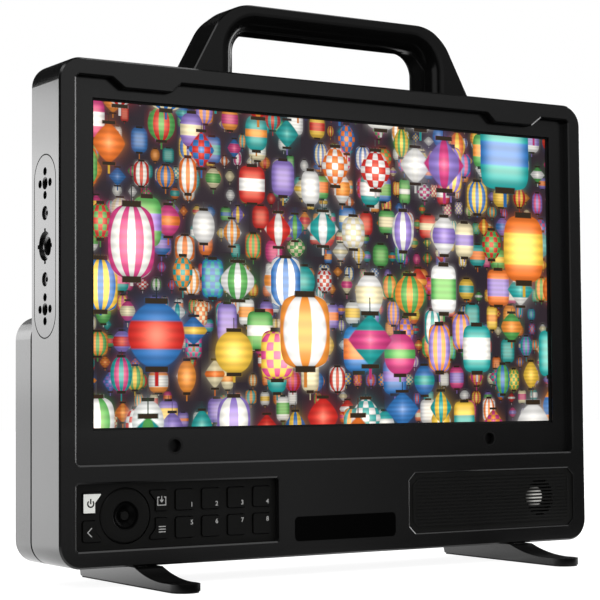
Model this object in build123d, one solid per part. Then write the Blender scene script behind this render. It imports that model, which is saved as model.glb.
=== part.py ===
from build123d import *
import math
import os

# A field video monitor: a machined metal body with a flat screen, a keypad with a
# four-way rocker, a speaker behind a slotted grille, threaded accessory plates on both
# sides, a carrying handle on top and two feet that swivel under the body.
#
# Millimetres. X runs to the right, Y away from the viewer and Z up. The origin is on
# the floor, in the middle of the width and of the feet's length. Depths are measured
# from the front face towards the back, and heights from the underside of the body.

# Picture, a stock 16:9 size: the body is drawn round it
screen_width = 294.0
screen_height = 165.4
screen_side_border = 21.5
screen_top_border = 20.2
chin_height = 69.5

# Body
body_corner = 12.0
body_depth = 33.4
side_wall = 3.0
front_wall = 7.5
front_edge_chamfer = 0.9
deep_edge_width = 0.85
deep_edge_depth = 0.45
shallow_edge_width = 0.6
shallow_edge_depth = 0.32

# Rear housing, behind the lower half of the body, and the seal in its seam
housing_height = 126.7
housing_depth = 20.0
housing_wall = 2.5
housing_edge_chamfer = 1.2
seam_gap = 1.6
seam_inset = 2.0
seal_width = 3.2

# Screen recess, and the layers of the screen
screen_recess_depth = 4.5
screen_recess_bottom = 51.3
recess_side_margin = 9.3
recess_top_margin = 8.8
recess_corner_cut = 1.6
tab_drop = 5.1
tab_inset = 20.2
tab_width = 39.5
tab_inner_slope = 5.8
tab_outer_slope = 7.0
bezel_lip = 1.5
bezel_reveal = 1.2
mask_thickness = 0.8
glass_thickness = 1.6
glass_border = 3.0
backlight_thickness = 5.0
tray_thickness = 2.0
tray_rim = 1.8
tray_post_gap = 0.4
tray_low_ear_x = 58.0
spreader_thickness = 3.0
spreader_side_gap = 27.0
spreader_end_gap = 7.7

# Sockets beside the screen for a clip-on screen protector
socket_inset = 57.6
socket_height = 59.9
socket_radius = 3.3
socket_depth = 3.1
socket_wall = 1.0
socket_length = 4.2

# The two recesses below the screen
lower_recess_width = 117.1
lower_recess_height = 33.2
lower_recess_bottom = 8.7
keypad_depth = 4.0
keypad_corner_cut = 1.2
grille_depth = 0.8
grille_corner_cut = 4.0
grille_border = 2.7
grille_rise = 0.3
ledge_width = 2.0

# Keypad
key_plate_thickness = 1.5
key_proud = 0.9
key_width = 10.4
key_height = 10.3
key_corner = 1.2
key_gap = 0.45
key_columns = 4
key_column_pitch = 15.33
key_row_pitch = 14.15
last_column_inset = 8.8
key_flange = 0.9
key_flange_thickness = 0.8
key_flange_gap = 0.3
key_travel = 0.8
key_stem_radius = 2.0
guide_thickness = 2.5
guide_edge = 1.8
guide_top_height = 50.0
guide_bottom_height = 12.4
guide_right_overhang = 6.0
board_gap = 2.0
board_thickness = 1.6
switch_radius = 2.5
switch_height = 0.6
running_clearance = 0.06

# Rocker: a tilting ring with a push button in its middle
rocker_inset = 28.6
rocker_radius = 13.8
rocker_gap = 0.5
rocker_proud = 0.6
rocker_disc_thickness = 1.8
rocker_hub_radius = 9.0
rocker_bore = 6.6
rocker_pivot_depth = 10.0
gimbal_inner_radius = 9.4
gimbal_outer_radius = 11.6
gimbal_thickness = 2.8
pivot_pin_radius = 0.8
well_inner_radius = 12.0
well_wall = 2.4
button_dish_radius = 5.6
button_dish_depth = 1.6
button_nub_radius = 2.7
button_nub_height = 0.9
button_travel = 0.5
flank_outer = 23.7
flank_narrow = 17.1
flank_wide = 13.9

# Speaker and its grille
grille_thickness = 1.2
grille_fit = 0.15
slit_pitch = 1.9
slit_width = 0.9
slit_end_margin = 4.2
groove_depth = 0.35
speaker_inset = 24.6
speaker_height = 25.6
speaker_opening_radius = 10.7
speaker_seat_depth = 3.5
speaker_flange_radius = 15.6
speaker_flange_thickness = 1.4
speaker_basket_radius = 12.6
speaker_basket_depth = 7.0
speaker_magnet_radius = 10.5
speaker_magnet_length = 6.5
speaker_dome_radius = 6.1
speaker_dome_rise = 1.9
speaker_cone_drop = 2.2
speaker_cone_thickness = 0.5

# Badge plate, left bare
badge_side_gap = 9.8
badge_height = 12.8
badge_bottom = 8.1
badge_corner = 2.5
badge_thickness = 1.2
badge_pocket = 0.9
badge_fit = 0.15

# Accessory plates in the sides
mount_plate_width = 25.0
mount_plate_length = 91.9
mount_plate_thickness = 8.0
mount_plate_depth = 17.3
mount_plate_rise = 8.75
mount_plate_fit = 0.7
mount_block_depth = 13.0
mount_hole_line = -0.1
big_thread_radius = 4.0
big_thread_mouth = 4.75
big_counterbore_radius = 7.5
big_counterbore_depth = 1.65
notch_width = 2.0
notch_reach = 9.0
small_thread_radius = 2.55
small_thread_mouth = 3.2
small_thread_spacing = 63.5
pin_hole_radius = 2.1
pin_hole_circle = 6.0
pin_hole_depth = 3.5
mount_screw_spacing = 33.4
mount_screw_head = 3.25
mount_screw_head_height = 3.0
mount_screw_sink = 1.1
mount_screw_room = 0.4
mount_screw_shank = 1.75
mount_screw_length = 8.4

# Handle
handle_front = 5.0
handle_thickness = 26.6
handle_foot_half = 89.9
handle_height = 38.1
handle_lean = 0.55
handle_corner = 26.0
grip_half = 62.4
grip_height = 24.3
grip_corner = 12.0
grip_edge_radius = 10.0
handle_front_chamfer = 0.6
handle_bevel_depth = 9.0
handle_bevel_drop = 1.3
handle_screw_inset = 15.9
handle_screw_depth = 16.0
handle_screw_spread = 8.0
handle_screw_radius = 2.5
handle_screw_bite = 12.0
handle_screw_head = 3.8
handle_screw_head_height = 3.0

# Feet
foot_height = 10.1
foot_length = 111.0
foot_width = 16.0
foot_toe_reach = 45.5
foot_side_inset = 48.9
foot_pivot_depth = 17.0
foot_toe_thickness = 4.3
foot_toe_flat = 10.5
foot_slope_sag = 1.7
foot_back_slant = 3.0
foot_play = 0.05
pad_thickness = 0.8
pad_inset = 0.6
washer_thickness = 0.5
washer_radius = 7.4
pivot_shoulder_radius = 4.0
pivot_head_radius = 5.4
pivot_head_height = 2.8
pivot_head_clearance = 0.3
pivot_thread_radius = 2.5
pivot_thread_length = 9.5
pivot_boss_radius = 7.0
pivot_boss_height = 12.0

# Back plate
back_plate_thickness = 3.0
back_plate_fit = 0.1
post_radius = 3.5
post_inset = 7.0
post_end_margin = 9.6
post_waist_height = 58.0
plate_screw_head = 2.9
plate_screw_head_height = 1.6
plate_screw_shank = 1.5
plate_screw_length = 9.0
wall_plate_spacing = 75.0
wall_plate_hole = 1.65
wall_plate_boss = 5.0
wall_plate_boss_length = 4.0
vent_slot_width = 2.4
vent_slot_length = 34.0
vent_slot_pitch = 6.0
vent_slots = 12
vent_side_inset = 36.5
cable_window_width = 80.0
cable_window_height = 30.0

# Inner screws, all alike
inner_head_radius = 2.6
inner_head_height = 1.9
inner_shank_radius = 1.5
inner_screw_length = 4.2
thread_clearance = 0.05
screw_clearance = 0.2

# Screws that hold the rear housing
housing_screw_head = 2.75
housing_screw_head_height = 2.4
housing_screw_sink = 0.4
housing_screw_shank = 1.5
housing_screw_bite = 2.0
housing_post_radius = 4.4
housing_post_inset = 10.5
housing_post_side_inset = 22.0
housing_middle_post_gap = 48.0

# Electronics
standoff_radius = 2.8
standoff_length = 3.6
main_board_side_gap = 68.5
main_board_height = 76.0
main_board_bottom = 71.0
board_hole_inset = 5.0
processor_size = 30.0
processor_thickness = 1.5
chip_height = 1.2
heat_sink_size = 58.0
heat_sink_gap = 0.3
heat_sink_base = 1.5
heat_sink_fins = 12
heat_sink_fin = 1.6
io_board_stand = 3.6
io_board_width = 159.0
io_board_height = 68.0

# Connectors
connector_panel_inset = 126.0
connector_panel_height = 62.0
connector_window_width = 155.0
connector_window_height = 62.0
connector_window_corner = 4.0
connector_plate_thickness = 2.0
connector_plate_overlap = 4.0
connector_row_spacing = 32.0
connector_hole_gap = 0.25
video_jack_count = 4
video_jack_pitch = 21.0
video_jack_first = -63.0
video_jack_body = 14.0
video_jack_radius = 4.85
video_jack_reach = 7.5
video_jack_bore = 3.7
video_jack_pin = 0.7
video_jack_lug = 0.9
flat_port_width = 15.4
flat_port_height = 6.0
flat_port_wall = 0.5
flat_port_count = 2
flat_port_pitch = 24.0
flat_port_first = 30.0
network_port_width = 16.2
network_port_height = 13.6
network_port_x = 5.0
network_port_wall = 1.8
network_port_pocket = 11.0
port_proud = 1.0
power_inlet_x = -55.0
power_inlet_radius = 11.0
power_inlet_bore = 9.4
power_inlet_pocket = 12.0
power_pin_radius = 1.2
power_pin_circle = 5.6
power_pin_length = 9.5

# Fan
fan_size = 60.0
fan_thickness = 10.0
fan_corner = 4.0
fan_inset = 68.5
fan_height = 62.0
fan_opening_radius = 28.0
fan_hub_radius = 11.5
fan_strut_width = 4.0
fan_strut_thickness = 1.6
fan_blades = 7
fan_blade_thickness = 1.0
fan_blade_pitch = 38.0
fan_blade_chord = 8.4
fan_tip_gap = 1.0
fan_shaft_radius = 1.0
fan_running_gap = 0.4
fan_hole_inset = 5.0
fan_flange = 2.5
fan_slot_pitch = 5.0
fan_slot_width = 2.4
exhaust_slots = 14
exhaust_slot_pitch = 8.0
exhaust_slot_width = 3.0
exhaust_slot_length = 9.0

# Places that follow from the sizes above
front_y = foot_toe_reach - foot_length / 2
body_width = screen_width + 2 * screen_side_border
body_height = chin_height + screen_height + screen_top_border
screen_middle = chin_height + screen_height / 2
half_width = body_width / 2
recess_half = half_width - recess_side_margin
recess_top = body_height - recess_top_margin
tab_end = recess_half - tab_inset
tab_start = tab_end - tab_width
socket_spacing = 2 * (recess_half - socket_inset)
spreader_width = screen_width - 2 * spreader_side_gap
spreader_height = screen_height - 2 * spreader_end_gap
badge_width = 2 * (recess_half - lower_recess_width - badge_side_gap)
mount_plate_height = screen_middle + mount_plate_rise
handle_screw_x = handle_foot_half - handle_screw_inset
foot_middle_x = half_width - foot_side_inset
main_board_width = body_width - 2 * main_board_side_gap
connector_panel_x = connector_panel_inset - half_width
fan_x = half_width - fan_inset
housing_middle_post_x = fan_x - housing_middle_post_gap
glass_depth = screen_recess_depth + bezel_lip + mask_thickness
backlight_depth = glass_depth + glass_thickness
tray_depth = backlight_depth + backlight_thickness
spreader_depth = tray_depth + tray_thickness
standoff_depth = spreader_depth + spreader_thickness
main_board_depth = standoff_depth + standoff_length
back_plate_depth = body_depth - back_plate_thickness
glass_width = screen_width + 2 * glass_border
glass_height = screen_height + 2 * glass_border
housing_start = body_depth + seam_gap
housing_end = housing_start + housing_depth
housing_wall_depth = housing_end - housing_wall
lower_recess_middle = lower_recess_bottom + lower_recess_height / 2
keypad_x = -recess_half + lower_recess_width / 2
grille_x = recess_half - lower_recess_width / 2
rocker_x = -recess_half + rocker_inset
speaker_x = recess_half - speaker_inset
key_plate_back = keypad_depth + key_plate_thickness
key_flange_depth = key_plate_back + key_flange_gap
guide_back = front_wall + guide_thickness
keypad_board_depth = guide_back + board_gap
io_board_depth = body_depth + io_board_stand
connector_plate_depth = housing_wall_depth - connector_plate_thickness
fan_depth = housing_wall_depth - fan_thickness
upper_back_middle = (housing_height + body_height) / 2
foot_top = foot_height - washer_thickness - foot_play

FACING = {
    "+x": Rot(0, 90, 0),
    "-x": Rot(0, -90, 0),
    "+y": Rot(-90, 0, 0),
    "-y": Rot(90, 0, 0),
    "+z": Rot(0, 0, 0),
    "-z": Rot(180, 0, 0),
}


def spot(x, depth, height):
    """A point given by its X, its depth behind the front face and its height."""
    return (x, front_y + depth, foot_height + height)


def between(middle, size):
    """The two ends of a size that is centred on a middle."""
    return (middle - size / 2, middle + size / 2)


def slab(x, depth, height):
    """A block between two values of X, two depths and two heights."""
    low = spot(x[0], depth[0], height[0])
    high = spot(x[1], depth[1], height[1])
    size = [b - a for a, b in zip(low, high)]
    middle = [(a + b) / 2 for a, b in zip(low, high)]
    return Pos(*middle) * Box(*size)


def placed(shape, point, facing):
    """A shape built up along Z, turned to face a way and moved to a point."""
    return Pos(*point) * FACING[facing] * shape


def peg(point, facing, radius, length):
    """A round bar that starts at a point and runs the way it faces."""
    return placed(Pos(0, 0, length / 2) * Cylinder(radius, length), point, facing)


def tube(point, facing, outer, inner, length):
    return peg(point, facing, outer, length) - peg(point, facing, inner, length)


def front_view(outline, near, far):
    """An outline in X and height, made solid between two depths."""
    plane = Plane(origin=spot(0, far, 0), x_dir=(1, 0, 0), z_dir=(0, -1, 0))
    return extrude(plane * outline, far - near)


def side_view(outline, left, right):
    """An outline in depth and height, made solid between two values of X."""
    plane = Plane(origin=spot(left, 0, 0), x_dir=(0, 1, 0), z_dir=(1, 0, 0))
    return extrude(plane * outline, right - left)


def rounded(middle_x, middle_height, width, height, corner):
    return Pos(middle_x, middle_height) * RectangleRounded(width, height, corner)


def shape_of(points):
    return make_face(Polyline(*points, close=True))


def cut_corners(middle_x, middle_height, width, height, cut):
    """A rectangle with its four corners cut off at 45 degrees."""
    box = Pos(middle_x, middle_height) * Rectangle(width, height)
    return chamfer(box.vertices(), cut)


def joined(shapes):
    shapes = list(shapes)
    whole = shapes[0]
    for shape in shapes[1:]:
        whole += shape
    return whole


def group(shapes):
    """Separate solids that share one node."""
    return Compound(children=list(shapes))


def both_sides(shape):
    return [shape, mirror(shape, about=Plane.YZ)]


def cap_screw(head_radius, head_height, shank_radius, length, driver_radius):
    """A socket screw with its head on +Z and its seat at the origin."""
    head = Pos(0, 0, head_height / 2) * Cylinder(head_radius, head_height)
    shank = Pos(0, 0, -length / 2) * Cylinder(shank_radius, length)
    driver = extrude(RegularPolygon(driver_radius, 6), head_height * 0.6)
    return head + shank - Pos(0, 0, head_height * 0.4) * driver


def body_outline(inset=0.0):
    width = body_width - 2 * inset
    height = body_height - 2 * inset
    return rounded(0, body_height / 2, width, height, body_corner - inset)


def housing_outline(inset=0.0):
    width = body_width - 2 * inset
    height = housing_height - 2 * inset
    return rounded(0, housing_height / 2, width, height, body_corner - inset)


def screen_recess_outline():
    """The recess round the screen, with the two tabs that reach down into it."""
    low = screen_recess_bottom
    cut = recess_corner_cut
    tab = recess_top - tab_drop
    right = [
        (recess_half - cut, low),
        (recess_half, low + cut),
        (recess_half, recess_top - cut),
        (recess_half - cut, recess_top),
        (tab_end, recess_top),
        (tab_end - tab_outer_slope, tab),
        (tab_start + tab_inner_slope, tab),
        (tab_start, recess_top),
    ]
    left = [(-x, height) for x, height in reversed(right)]
    return shape_of(right + left)


def lower_recess_outline(middle_x, cut, inset=0.0):
    width = lower_recess_width - 2 * inset
    height = lower_recess_height - 2 * inset
    return cut_corners(middle_x, lower_recess_middle, width, height, cut)


def plate_post_places():
    """Where the back plate is screwed to the body."""
    side = half_width - post_inset
    top = body_height - post_end_margin
    heights = (post_end_margin, post_waist_height, top)
    edges = [(x, height) for x in (-side, side) for height in heights]
    middles = [(0, side_wall + post_radius), (0, body_height - side_wall - post_radius)]
    return edges + middles


def tray_ear_places():
    """Where the screen's tray is screwed to the front wall."""
    reach = tray_rim + tray_post_gap + post_radius
    side = glass_width / 2 + reach
    low = screen_middle - glass_height / 2 - reach
    heights = (screen_middle - 0.4 * screen_height, screen_middle + 0.45 * screen_height)
    sides = [(x, height) for x in (-side, side) for height in heights]
    return sides + [(-tray_low_ear_x, low), (tray_low_ear_x, low)]


def guide_screw_places():
    """Where the key guide and its board are screwed to the front wall."""
    left = keypad_x - lower_recess_width / 2
    right = keypad_x + lower_recess_width / 2
    ledge_top = lower_recess_bottom + lower_recess_height
    height = (ledge_top + guide_top_height) / 2
    across = [(left + share * lower_recess_width, height) for share in (0.08, 0.5, 0.92)]
    return across + [(right + guide_right_overhang / 2, lower_recess_middle)]


def handle_screw_places():
    depths = between(handle_screw_depth, handle_screw_spread)
    return [(x, depth) for x in (-handle_screw_x, handle_screw_x) for depth in depths]


def housing_screw_places():
    side = half_width - housing_post_side_inset
    heights = (housing_post_inset, housing_height - housing_post_inset)
    edges = [(x, height) for x in (-side, side) for height in heights]
    return edges + [(housing_middle_post_x, height) for height in heights]


def io_screw_places():
    across = between(connector_panel_x, io_board_width - 2 * board_hole_inset)
    up = between(connector_panel_height, io_board_height - 2 * board_hole_inset)
    return [(x, height) for x in across for height in up]


def main_board_screw_places():
    middle = main_board_bottom + main_board_height / 2
    across = between(0, main_board_width - 2 * board_hole_inset)
    up = between(middle, main_board_height - 2 * board_hole_inset)
    return [(x, height) for x in across for height in up]


def fan_screw_places():
    across = between(fan_x, fan_size - 2 * fan_hole_inset)
    up = between(fan_height, fan_size - 2 * fan_hole_inset)
    return [(x, height) for x in across for height in up]


def mount_screw_offsets():
    return between(0, mount_screw_spacing)


def wall_plate_places():
    across = between(0, wall_plate_spacing)
    up = between(upper_back_middle, wall_plate_spacing)
    return [(x, height) for x in across for height in up]


def mount_block():
    """The thick part of the right wall that takes an accessory plate."""
    left = half_width - mount_block_depth
    margin = side_wall + 1.0
    height = between(mount_plate_height, mount_plate_length + 2 * margin)
    return slab((left, half_width - side_wall / 2), (front_wall / 2, back_plate_depth), height)


def frame_bosses():
    posts = [
        peg(spot(x, front_wall / 2, height), "+y", post_radius, back_plate_depth - front_wall / 2)
        for x, height in plate_post_places()
    ]
    ears = [
        peg(spot(x, front_wall / 2, height), "+y", post_radius, tray_depth - front_wall / 2)
        for x, height in tray_ear_places()
    ]
    feet = [
        peg(spot(x, foot_pivot_depth, side_wall / 2), "+z", pivot_boss_radius,
            pivot_boss_height - side_wall / 2)
        for x in (-foot_middle_x, foot_middle_x)
    ]
    return joined(posts + ears + feet + both_sides(mount_block()))


def frame_shell():
    shell = front_view(body_outline(), 0, body_depth)
    front = shell.faces().sort_by(Axis.Y)[0]
    shell = chamfer(front.edges(), front_edge_chamfer)
    hollow = front_view(body_outline(side_wall), front_wall, body_depth)
    return shell - hollow


def frame_front_cuts():
    """What is cut into the front face: the recesses, their windows and small pockets."""
    window = Pos(0, screen_middle) * Rectangle(
        screen_width + 2 * bezel_reveal, screen_height + 2 * bezel_reveal)
    glass_fit = 2 * running_clearance
    pocket = Pos(0, screen_middle) * Rectangle(glass_width + glass_fit, glass_height + glass_fit)
    lip_back = screen_recess_depth + bezel_lip
    keypad_window = lower_recess_outline(keypad_x, keypad_corner_cut, ledge_width)
    badge = rounded(0, badge_bottom + badge_height / 2, badge_width + 2 * badge_fit,
                    badge_height + 2 * badge_fit, badge_corner)
    cuts = [
        front_view(screen_recess_outline(), 0, screen_recess_depth),
        front_view(window, screen_recess_depth, lip_back),
        front_view(pocket, lip_back, front_wall),
        front_view(lower_recess_outline(keypad_x, keypad_corner_cut), 0, key_plate_back),
        front_view(keypad_window, key_plate_back, front_wall),
        front_view(lower_recess_outline(grille_x, grille_corner_cut), 0,
                   grille_depth + grille_thickness),
        front_view(badge, 0, badge_pocket),
        peg(spot(speaker_x, 0, speaker_height), "+y", speaker_opening_radius, front_wall),
        peg(spot(speaker_x, speaker_seat_depth, speaker_height), "+y",
            speaker_flange_radius + screw_clearance, front_wall - speaker_seat_depth),
    ]
    for x in between(0, socket_spacing):
        point = spot(x, screen_recess_depth, socket_height)
        cuts.append(peg(point, "+y", socket_radius + socket_wall + thread_clearance,
                        front_wall - screen_recess_depth))
    return cuts


def frame_screw_holes():
    thread = plate_screw_shank + thread_clearance
    holes = [
        peg(spot(x, back_plate_depth, height), "-y", thread, plate_screw_length)
        for x, height in plate_post_places()
    ]
    inner = inner_shank_radius + thread_clearance
    holes += [
        peg(spot(x, tray_depth, height), "-y", inner, inner_screw_length)
        for x, height in tray_ear_places()
    ]
    holes += [
        peg(spot(x, front_wall, height), "-y", inner, front_wall / 2)
        for x, height in guide_screw_places()
    ]
    holes += [
        peg(spot(x, depth, body_height - side_wall), "+z",
            handle_screw_radius + screw_clearance, side_wall)
        for x, depth in handle_screw_places()
    ]
    pivot = pivot_thread_radius + thread_clearance
    holes += [
        peg(spot(x, foot_pivot_depth, 0), "+z", pivot, pivot_boss_height)
        for x in (-foot_middle_x, foot_middle_x)
    ]
    return holes


def mount_outline(grow=0.0):
    """The capsule outline of an accessory plate, in depth and height."""
    width = mount_plate_width + 2 * grow
    length = mount_plate_length + 2 * grow
    slot = Rot(0, 0, 90) * SlotOverall(length, width)
    return Pos(mount_plate_depth, mount_plate_height) * slot


def mount_pocket():
    """The pocket in the right side, with what is drilled through its floor."""
    floor = half_width - mount_plate_thickness
    block = half_width - mount_block_depth
    depth = mount_plate_depth + mount_hole_line
    pocket = side_view(mount_outline(mount_plate_fit), floor, half_width)
    thread = mount_screw_shank + thread_clearance
    length = mount_block_depth - mount_plate_thickness
    for offset in mount_screw_offsets():
        point = spot(block, depth, mount_plate_height + offset)
        pocket += peg(point, "+x", thread, length)
    return pocket


def front_frame():
    frame = frame_shell() + frame_bosses()
    for cut in frame_front_cuts() + frame_screw_holes():
        frame -= cut
    for cut in both_sides(mount_pocket()):
        frame -= cut
    deep = (deep_edge_width, deep_edge_depth)
    shallow = (shallow_edge_width, shallow_edge_depth)
    for recess, (width, depth) in (("screen", deep), ("keypad", deep), ("grille", shallow)):
        face = frame.faces().filter_by_position(Axis.Y, front_y - 0.01, front_y + 0.01)[0]
        edges = [edge for edge in face.edges() if recess_of(edge) == recess]
        frame = chamfer(edges, width, depth, reference=face)
    return frame


def recess_of(edge):
    """Names the recess in the front face that an edge belongs to."""
    middle = edge.center()
    height = middle.Z - foot_height
    side = half_width - recess_side_margin / 2
    if abs(middle.X) > side or not badge_bottom / 2 < height < (recess_top + body_height) / 2:
        return "outside"
    if height > (lower_recess_bottom + lower_recess_height + screen_recess_bottom) / 2:
        return "screen"
    if abs(middle.X) < (badge_width + badge_side_gap) / 2:
        return "badge"
    return "keypad" if middle.X < 0 else "grille"


def display_mask():
    outer = Pos(0, screen_middle) * Rectangle(glass_width, glass_height)
    inner = Pos(0, screen_middle) * Rectangle(screen_width, screen_height)
    return front_view(outer - inner, screen_recess_depth + bezel_lip, glass_depth)


def glass_outline():
    return Pos(0, screen_middle) * Rectangle(glass_width, glass_height)


def lcd_panel():
    return front_view(glass_outline(), glass_depth, backlight_depth)


def backlight_unit():
    """The light guide, with a channel down each long edge for its strips of lamps."""
    guide = front_view(glass_outline(), backlight_depth, tray_depth)
    channel = 2.0
    for end in (-1, 1):
        middle = screen_middle + end * (glass_height / 2 - glass_border / 2)
        guide -= slab(between(0, screen_width), (tray_depth - channel, tray_depth),
                      between(middle, glass_border / 2))
    return guide


def panel_tray():
    """The metal tray that holds the glass and the backlight from behind."""
    fit = 2 * running_clearance
    outer = Pos(0, screen_middle) * Rectangle(
        glass_width + 2 * tray_rim, glass_height + 2 * tray_rim)
    inner = Pos(0, screen_middle) * Rectangle(glass_width + fit, glass_height + fit)
    tray = front_view(outer, tray_depth, spreader_depth)
    tray += front_view(outer - inner, front_wall, tray_depth)
    for x, height in tray_ear_places():
        tray += tray_ear(x, height)
    for x, height in tray_ear_places():
        tray -= peg(spot(x, tray_depth, height), "+y",
                    inner_shank_radius + screw_clearance, tray_thickness)
    return tray


def tray_ear(x, height):
    """A square ear round one screw, rooted well inside the tray's back."""
    reach = inner_head_radius + 0.6
    root = 10.0
    across = between(x, 2 * reach)
    up = between(height, 2 * reach)
    if height < screen_middle - glass_height / 2:
        up = (up[0], up[1] + root)
    elif x < 0:
        across = (across[0], across[1] + root)
    else:
        across = (across[0] - root, across[1])
    return slab(across, (tray_depth, spreader_depth), up)


def heat_spreader():
    plate = rounded(0, screen_middle, spreader_width, spreader_height, body_corner)
    return front_view(plate, spreader_depth, standoff_depth)


def board_standoffs():
    pillars = []
    thread = inner_shank_radius + thread_clearance
    for x, height in main_board_screw_places():
        hexagon = extrude(RegularPolygon(standoff_radius, 6), standoff_length)
        pillar = placed(hexagon, spot(x, standoff_depth, height), "+y")
        pillars.append(pillar - peg(spot(x, standoff_depth, height), "+y", thread, standoff_length))
    return group(pillars)


def main_board():
    middle = main_board_bottom + main_board_height / 2
    back = main_board_depth + board_thickness
    outline = rounded(0, middle, main_board_width, main_board_height, 2)
    board = front_view(outline, main_board_depth, back)
    board += slab(between(0, processor_size), (back, back + processor_thickness),
                  between(middle, processor_size))
    pitch = heat_sink_size * 0.75
    for side in (-1, 1):
        for row in (-1, 0, 1):
            board += slab(between(side * pitch * 1.15, 14), (back, back + chip_height),
                          between(middle + row * 22, 12))
    for x, height in main_board_screw_places():
        board -= peg(spot(x, main_board_depth, height), "+y",
                     inner_shank_radius + screw_clearance, board_thickness)
    return board


def processor_heat_sink():
    middle = main_board_bottom + main_board_height / 2
    base = main_board_depth + board_thickness + processor_thickness
    top = back_plate_depth - heat_sink_gap
    sink = slab(between(0, heat_sink_size), (base, base + heat_sink_base),
                between(middle, heat_sink_size))
    pitch = (heat_sink_size - heat_sink_fin) / (heat_sink_fins - 1)
    for fin in range(heat_sink_fins):
        x = -heat_sink_size / 2 + heat_sink_fin / 2 + fin * pitch
        sink += slab(between(x, heat_sink_fin), (base, top), between(middle, heat_sink_size))
    return sink


def protector_sockets():
    cups = []
    for x in between(0, socket_spacing):
        point = spot(x, screen_recess_depth, socket_height)
        cup = peg(point, "+y", socket_radius + socket_wall, socket_length)
        cups.append(cup - peg(point, "+y", socket_radius, socket_depth))
    return group(cups)


def key_outline():
    return RectangleRounded(key_width, key_height, key_corner)


def flank_outline(side, row):
    """A key that hugs the rocker: side and row are -1 or 1, about the rocker's middle."""
    near = row * (key_row_pitch - key_height) / 2
    far = row * (key_row_pitch + key_height) / 2
    middle = (near + far) / 2
    corner = row * key_corner
    points = [
        (side * flank_outer, near),
        (side * flank_outer, far),
        (side * flank_wide, far),
        (side * flank_wide, far - corner),
        (side * flank_narrow, middle),
        (side * flank_narrow, near),
    ]
    outline = shape_of(points)
    sharp = [v for v in outline.vertices() if abs(abs(v.X) - flank_outer) < 0.1]
    return fillet(sharp, key_corner)


def number_key_place(number):
    """Keys 1 to 4 are the upper row and 5 to 8 the lower, from left to right."""
    column = (number - 1) % key_columns
    row = 1 if number <= key_columns else -1
    right = keypad_x + lower_recess_width / 2
    x = right - last_column_inset - (key_columns - 1 - column) * key_column_pitch
    return (x, lower_recess_middle + row * key_row_pitch / 2)


def key_outlines():
    """Each key's outline, at its place in the keypad."""
    flanks = {"power_key": (-1, 1), "back_key": (-1, -1), "input_key": (1, 1), "menu_key": (1, -1)}
    outlines = {
        name: Pos(rocker_x, lower_recess_middle) * flank_outline(side, row)
        for name, (side, row) in flanks.items()
    }
    for number in range(1, 2 * key_columns + 1):
        outlines[f"key_{number}"] = Pos(*number_key_place(number)) * key_outline()
    return outlines


def key_stem_places():
    """The middle of each key's stem."""
    side = (flank_outer + flank_narrow) / 2
    rows = (("power_key", -1, 1), ("back_key", -1, -1), ("input_key", 1, 1), ("menu_key", 1, -1))
    places = {
        name: (rocker_x + column * side, lower_recess_middle + row * key_row_pitch / 2)
        for name, column, row in rows
    }
    for number in range(1, 2 * key_columns + 1):
        places[f"key_{number}"] = number_key_place(number)
    return places


def key(name):
    """A key cap, the flange that keeps it behind the plate and its guided stem."""
    outline = key_outlines()[name]
    x, height = key_stem_places()[name]
    cap = front_view(outline, keypad_depth - key_proud, key_flange_depth + key_flange_thickness)
    flange = front_view(offset(outline, key_flange), key_flange_depth,
                        key_flange_depth + key_flange_thickness)
    stem_start = key_flange_depth
    stem_end = guide_back + board_gap - switch_height - key_travel - key_flange_gap
    stem = peg(spot(x, stem_start, height), "+y", key_stem_radius, stem_end - stem_start)
    return cap + flange + stem


def keypad_plate():
    outline = lower_recess_outline(keypad_x, keypad_corner_cut, running_clearance)
    plate = front_view(outline, keypad_depth, key_plate_back)
    for hole in key_outlines().values():
        plate -= front_view(offset(hole, key_gap), keypad_depth, key_plate_back)
    return plate - peg(spot(rocker_x, keypad_depth, lower_recess_middle), "+y",
                       rocker_radius + rocker_gap, key_plate_thickness)


def guide_outline():
    left = keypad_x - lower_recess_width / 2 + guide_edge
    right = keypad_x + lower_recess_width / 2 + guide_right_overhang
    middle = (guide_bottom_height + guide_top_height) / 2
    height = guide_top_height - guide_bottom_height
    return rounded((left + right) / 2, middle, right - left, height, 2)


def key_guide():
    """The moulded plate behind the keys: it guides their stems and holds the rocker."""
    centre = spot(rocker_x, front_wall, lower_recess_middle)
    guide = front_view(guide_outline(), front_wall, guide_back)
    guide += peg(centre, "+y", well_inner_radius + well_wall, guide_thickness + board_gap)
    for x, height in guide_screw_places():
        guide += peg(spot(x, front_wall, height), "+y", post_radius - 0.5,
                     guide_thickness + board_gap)
    guide -= peg(centre, "+y", well_inner_radius, guide_thickness + board_gap)
    for x, height in key_stem_places().values():
        guide -= peg(spot(x, front_wall, height), "+y",
                     key_stem_radius + running_clearance, guide_thickness)
    for x, height in guide_screw_places():
        guide -= peg(spot(x, front_wall, height), "+y",
                     inner_shank_radius + screw_clearance, guide_thickness + board_gap)
    pivot = spot(rocker_x, rocker_pivot_depth, lower_recess_middle)
    reach = 2 * (gimbal_outer_radius + pivot_pin_radius + 1.0)
    axle = Rot(0, 90, 0) * Cylinder(pivot_pin_radius + running_clearance, reach)
    return guide - Pos(*pivot) * axle


def keypad_board():
    """The circuit board behind the guide, with a switch under each key."""
    far = keypad_board_depth + board_thickness
    board = front_view(guide_outline(), keypad_board_depth, far)
    switches = list(key_stem_places().values())
    for x, height in switches:
        board += peg(spot(x, keypad_board_depth, height), "-y", switch_radius, switch_height)
    for x, height in guide_screw_places():
        board -= peg(spot(x, keypad_board_depth, height), "+y",
                     inner_shank_radius + screw_clearance, board_thickness)
    return board


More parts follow.
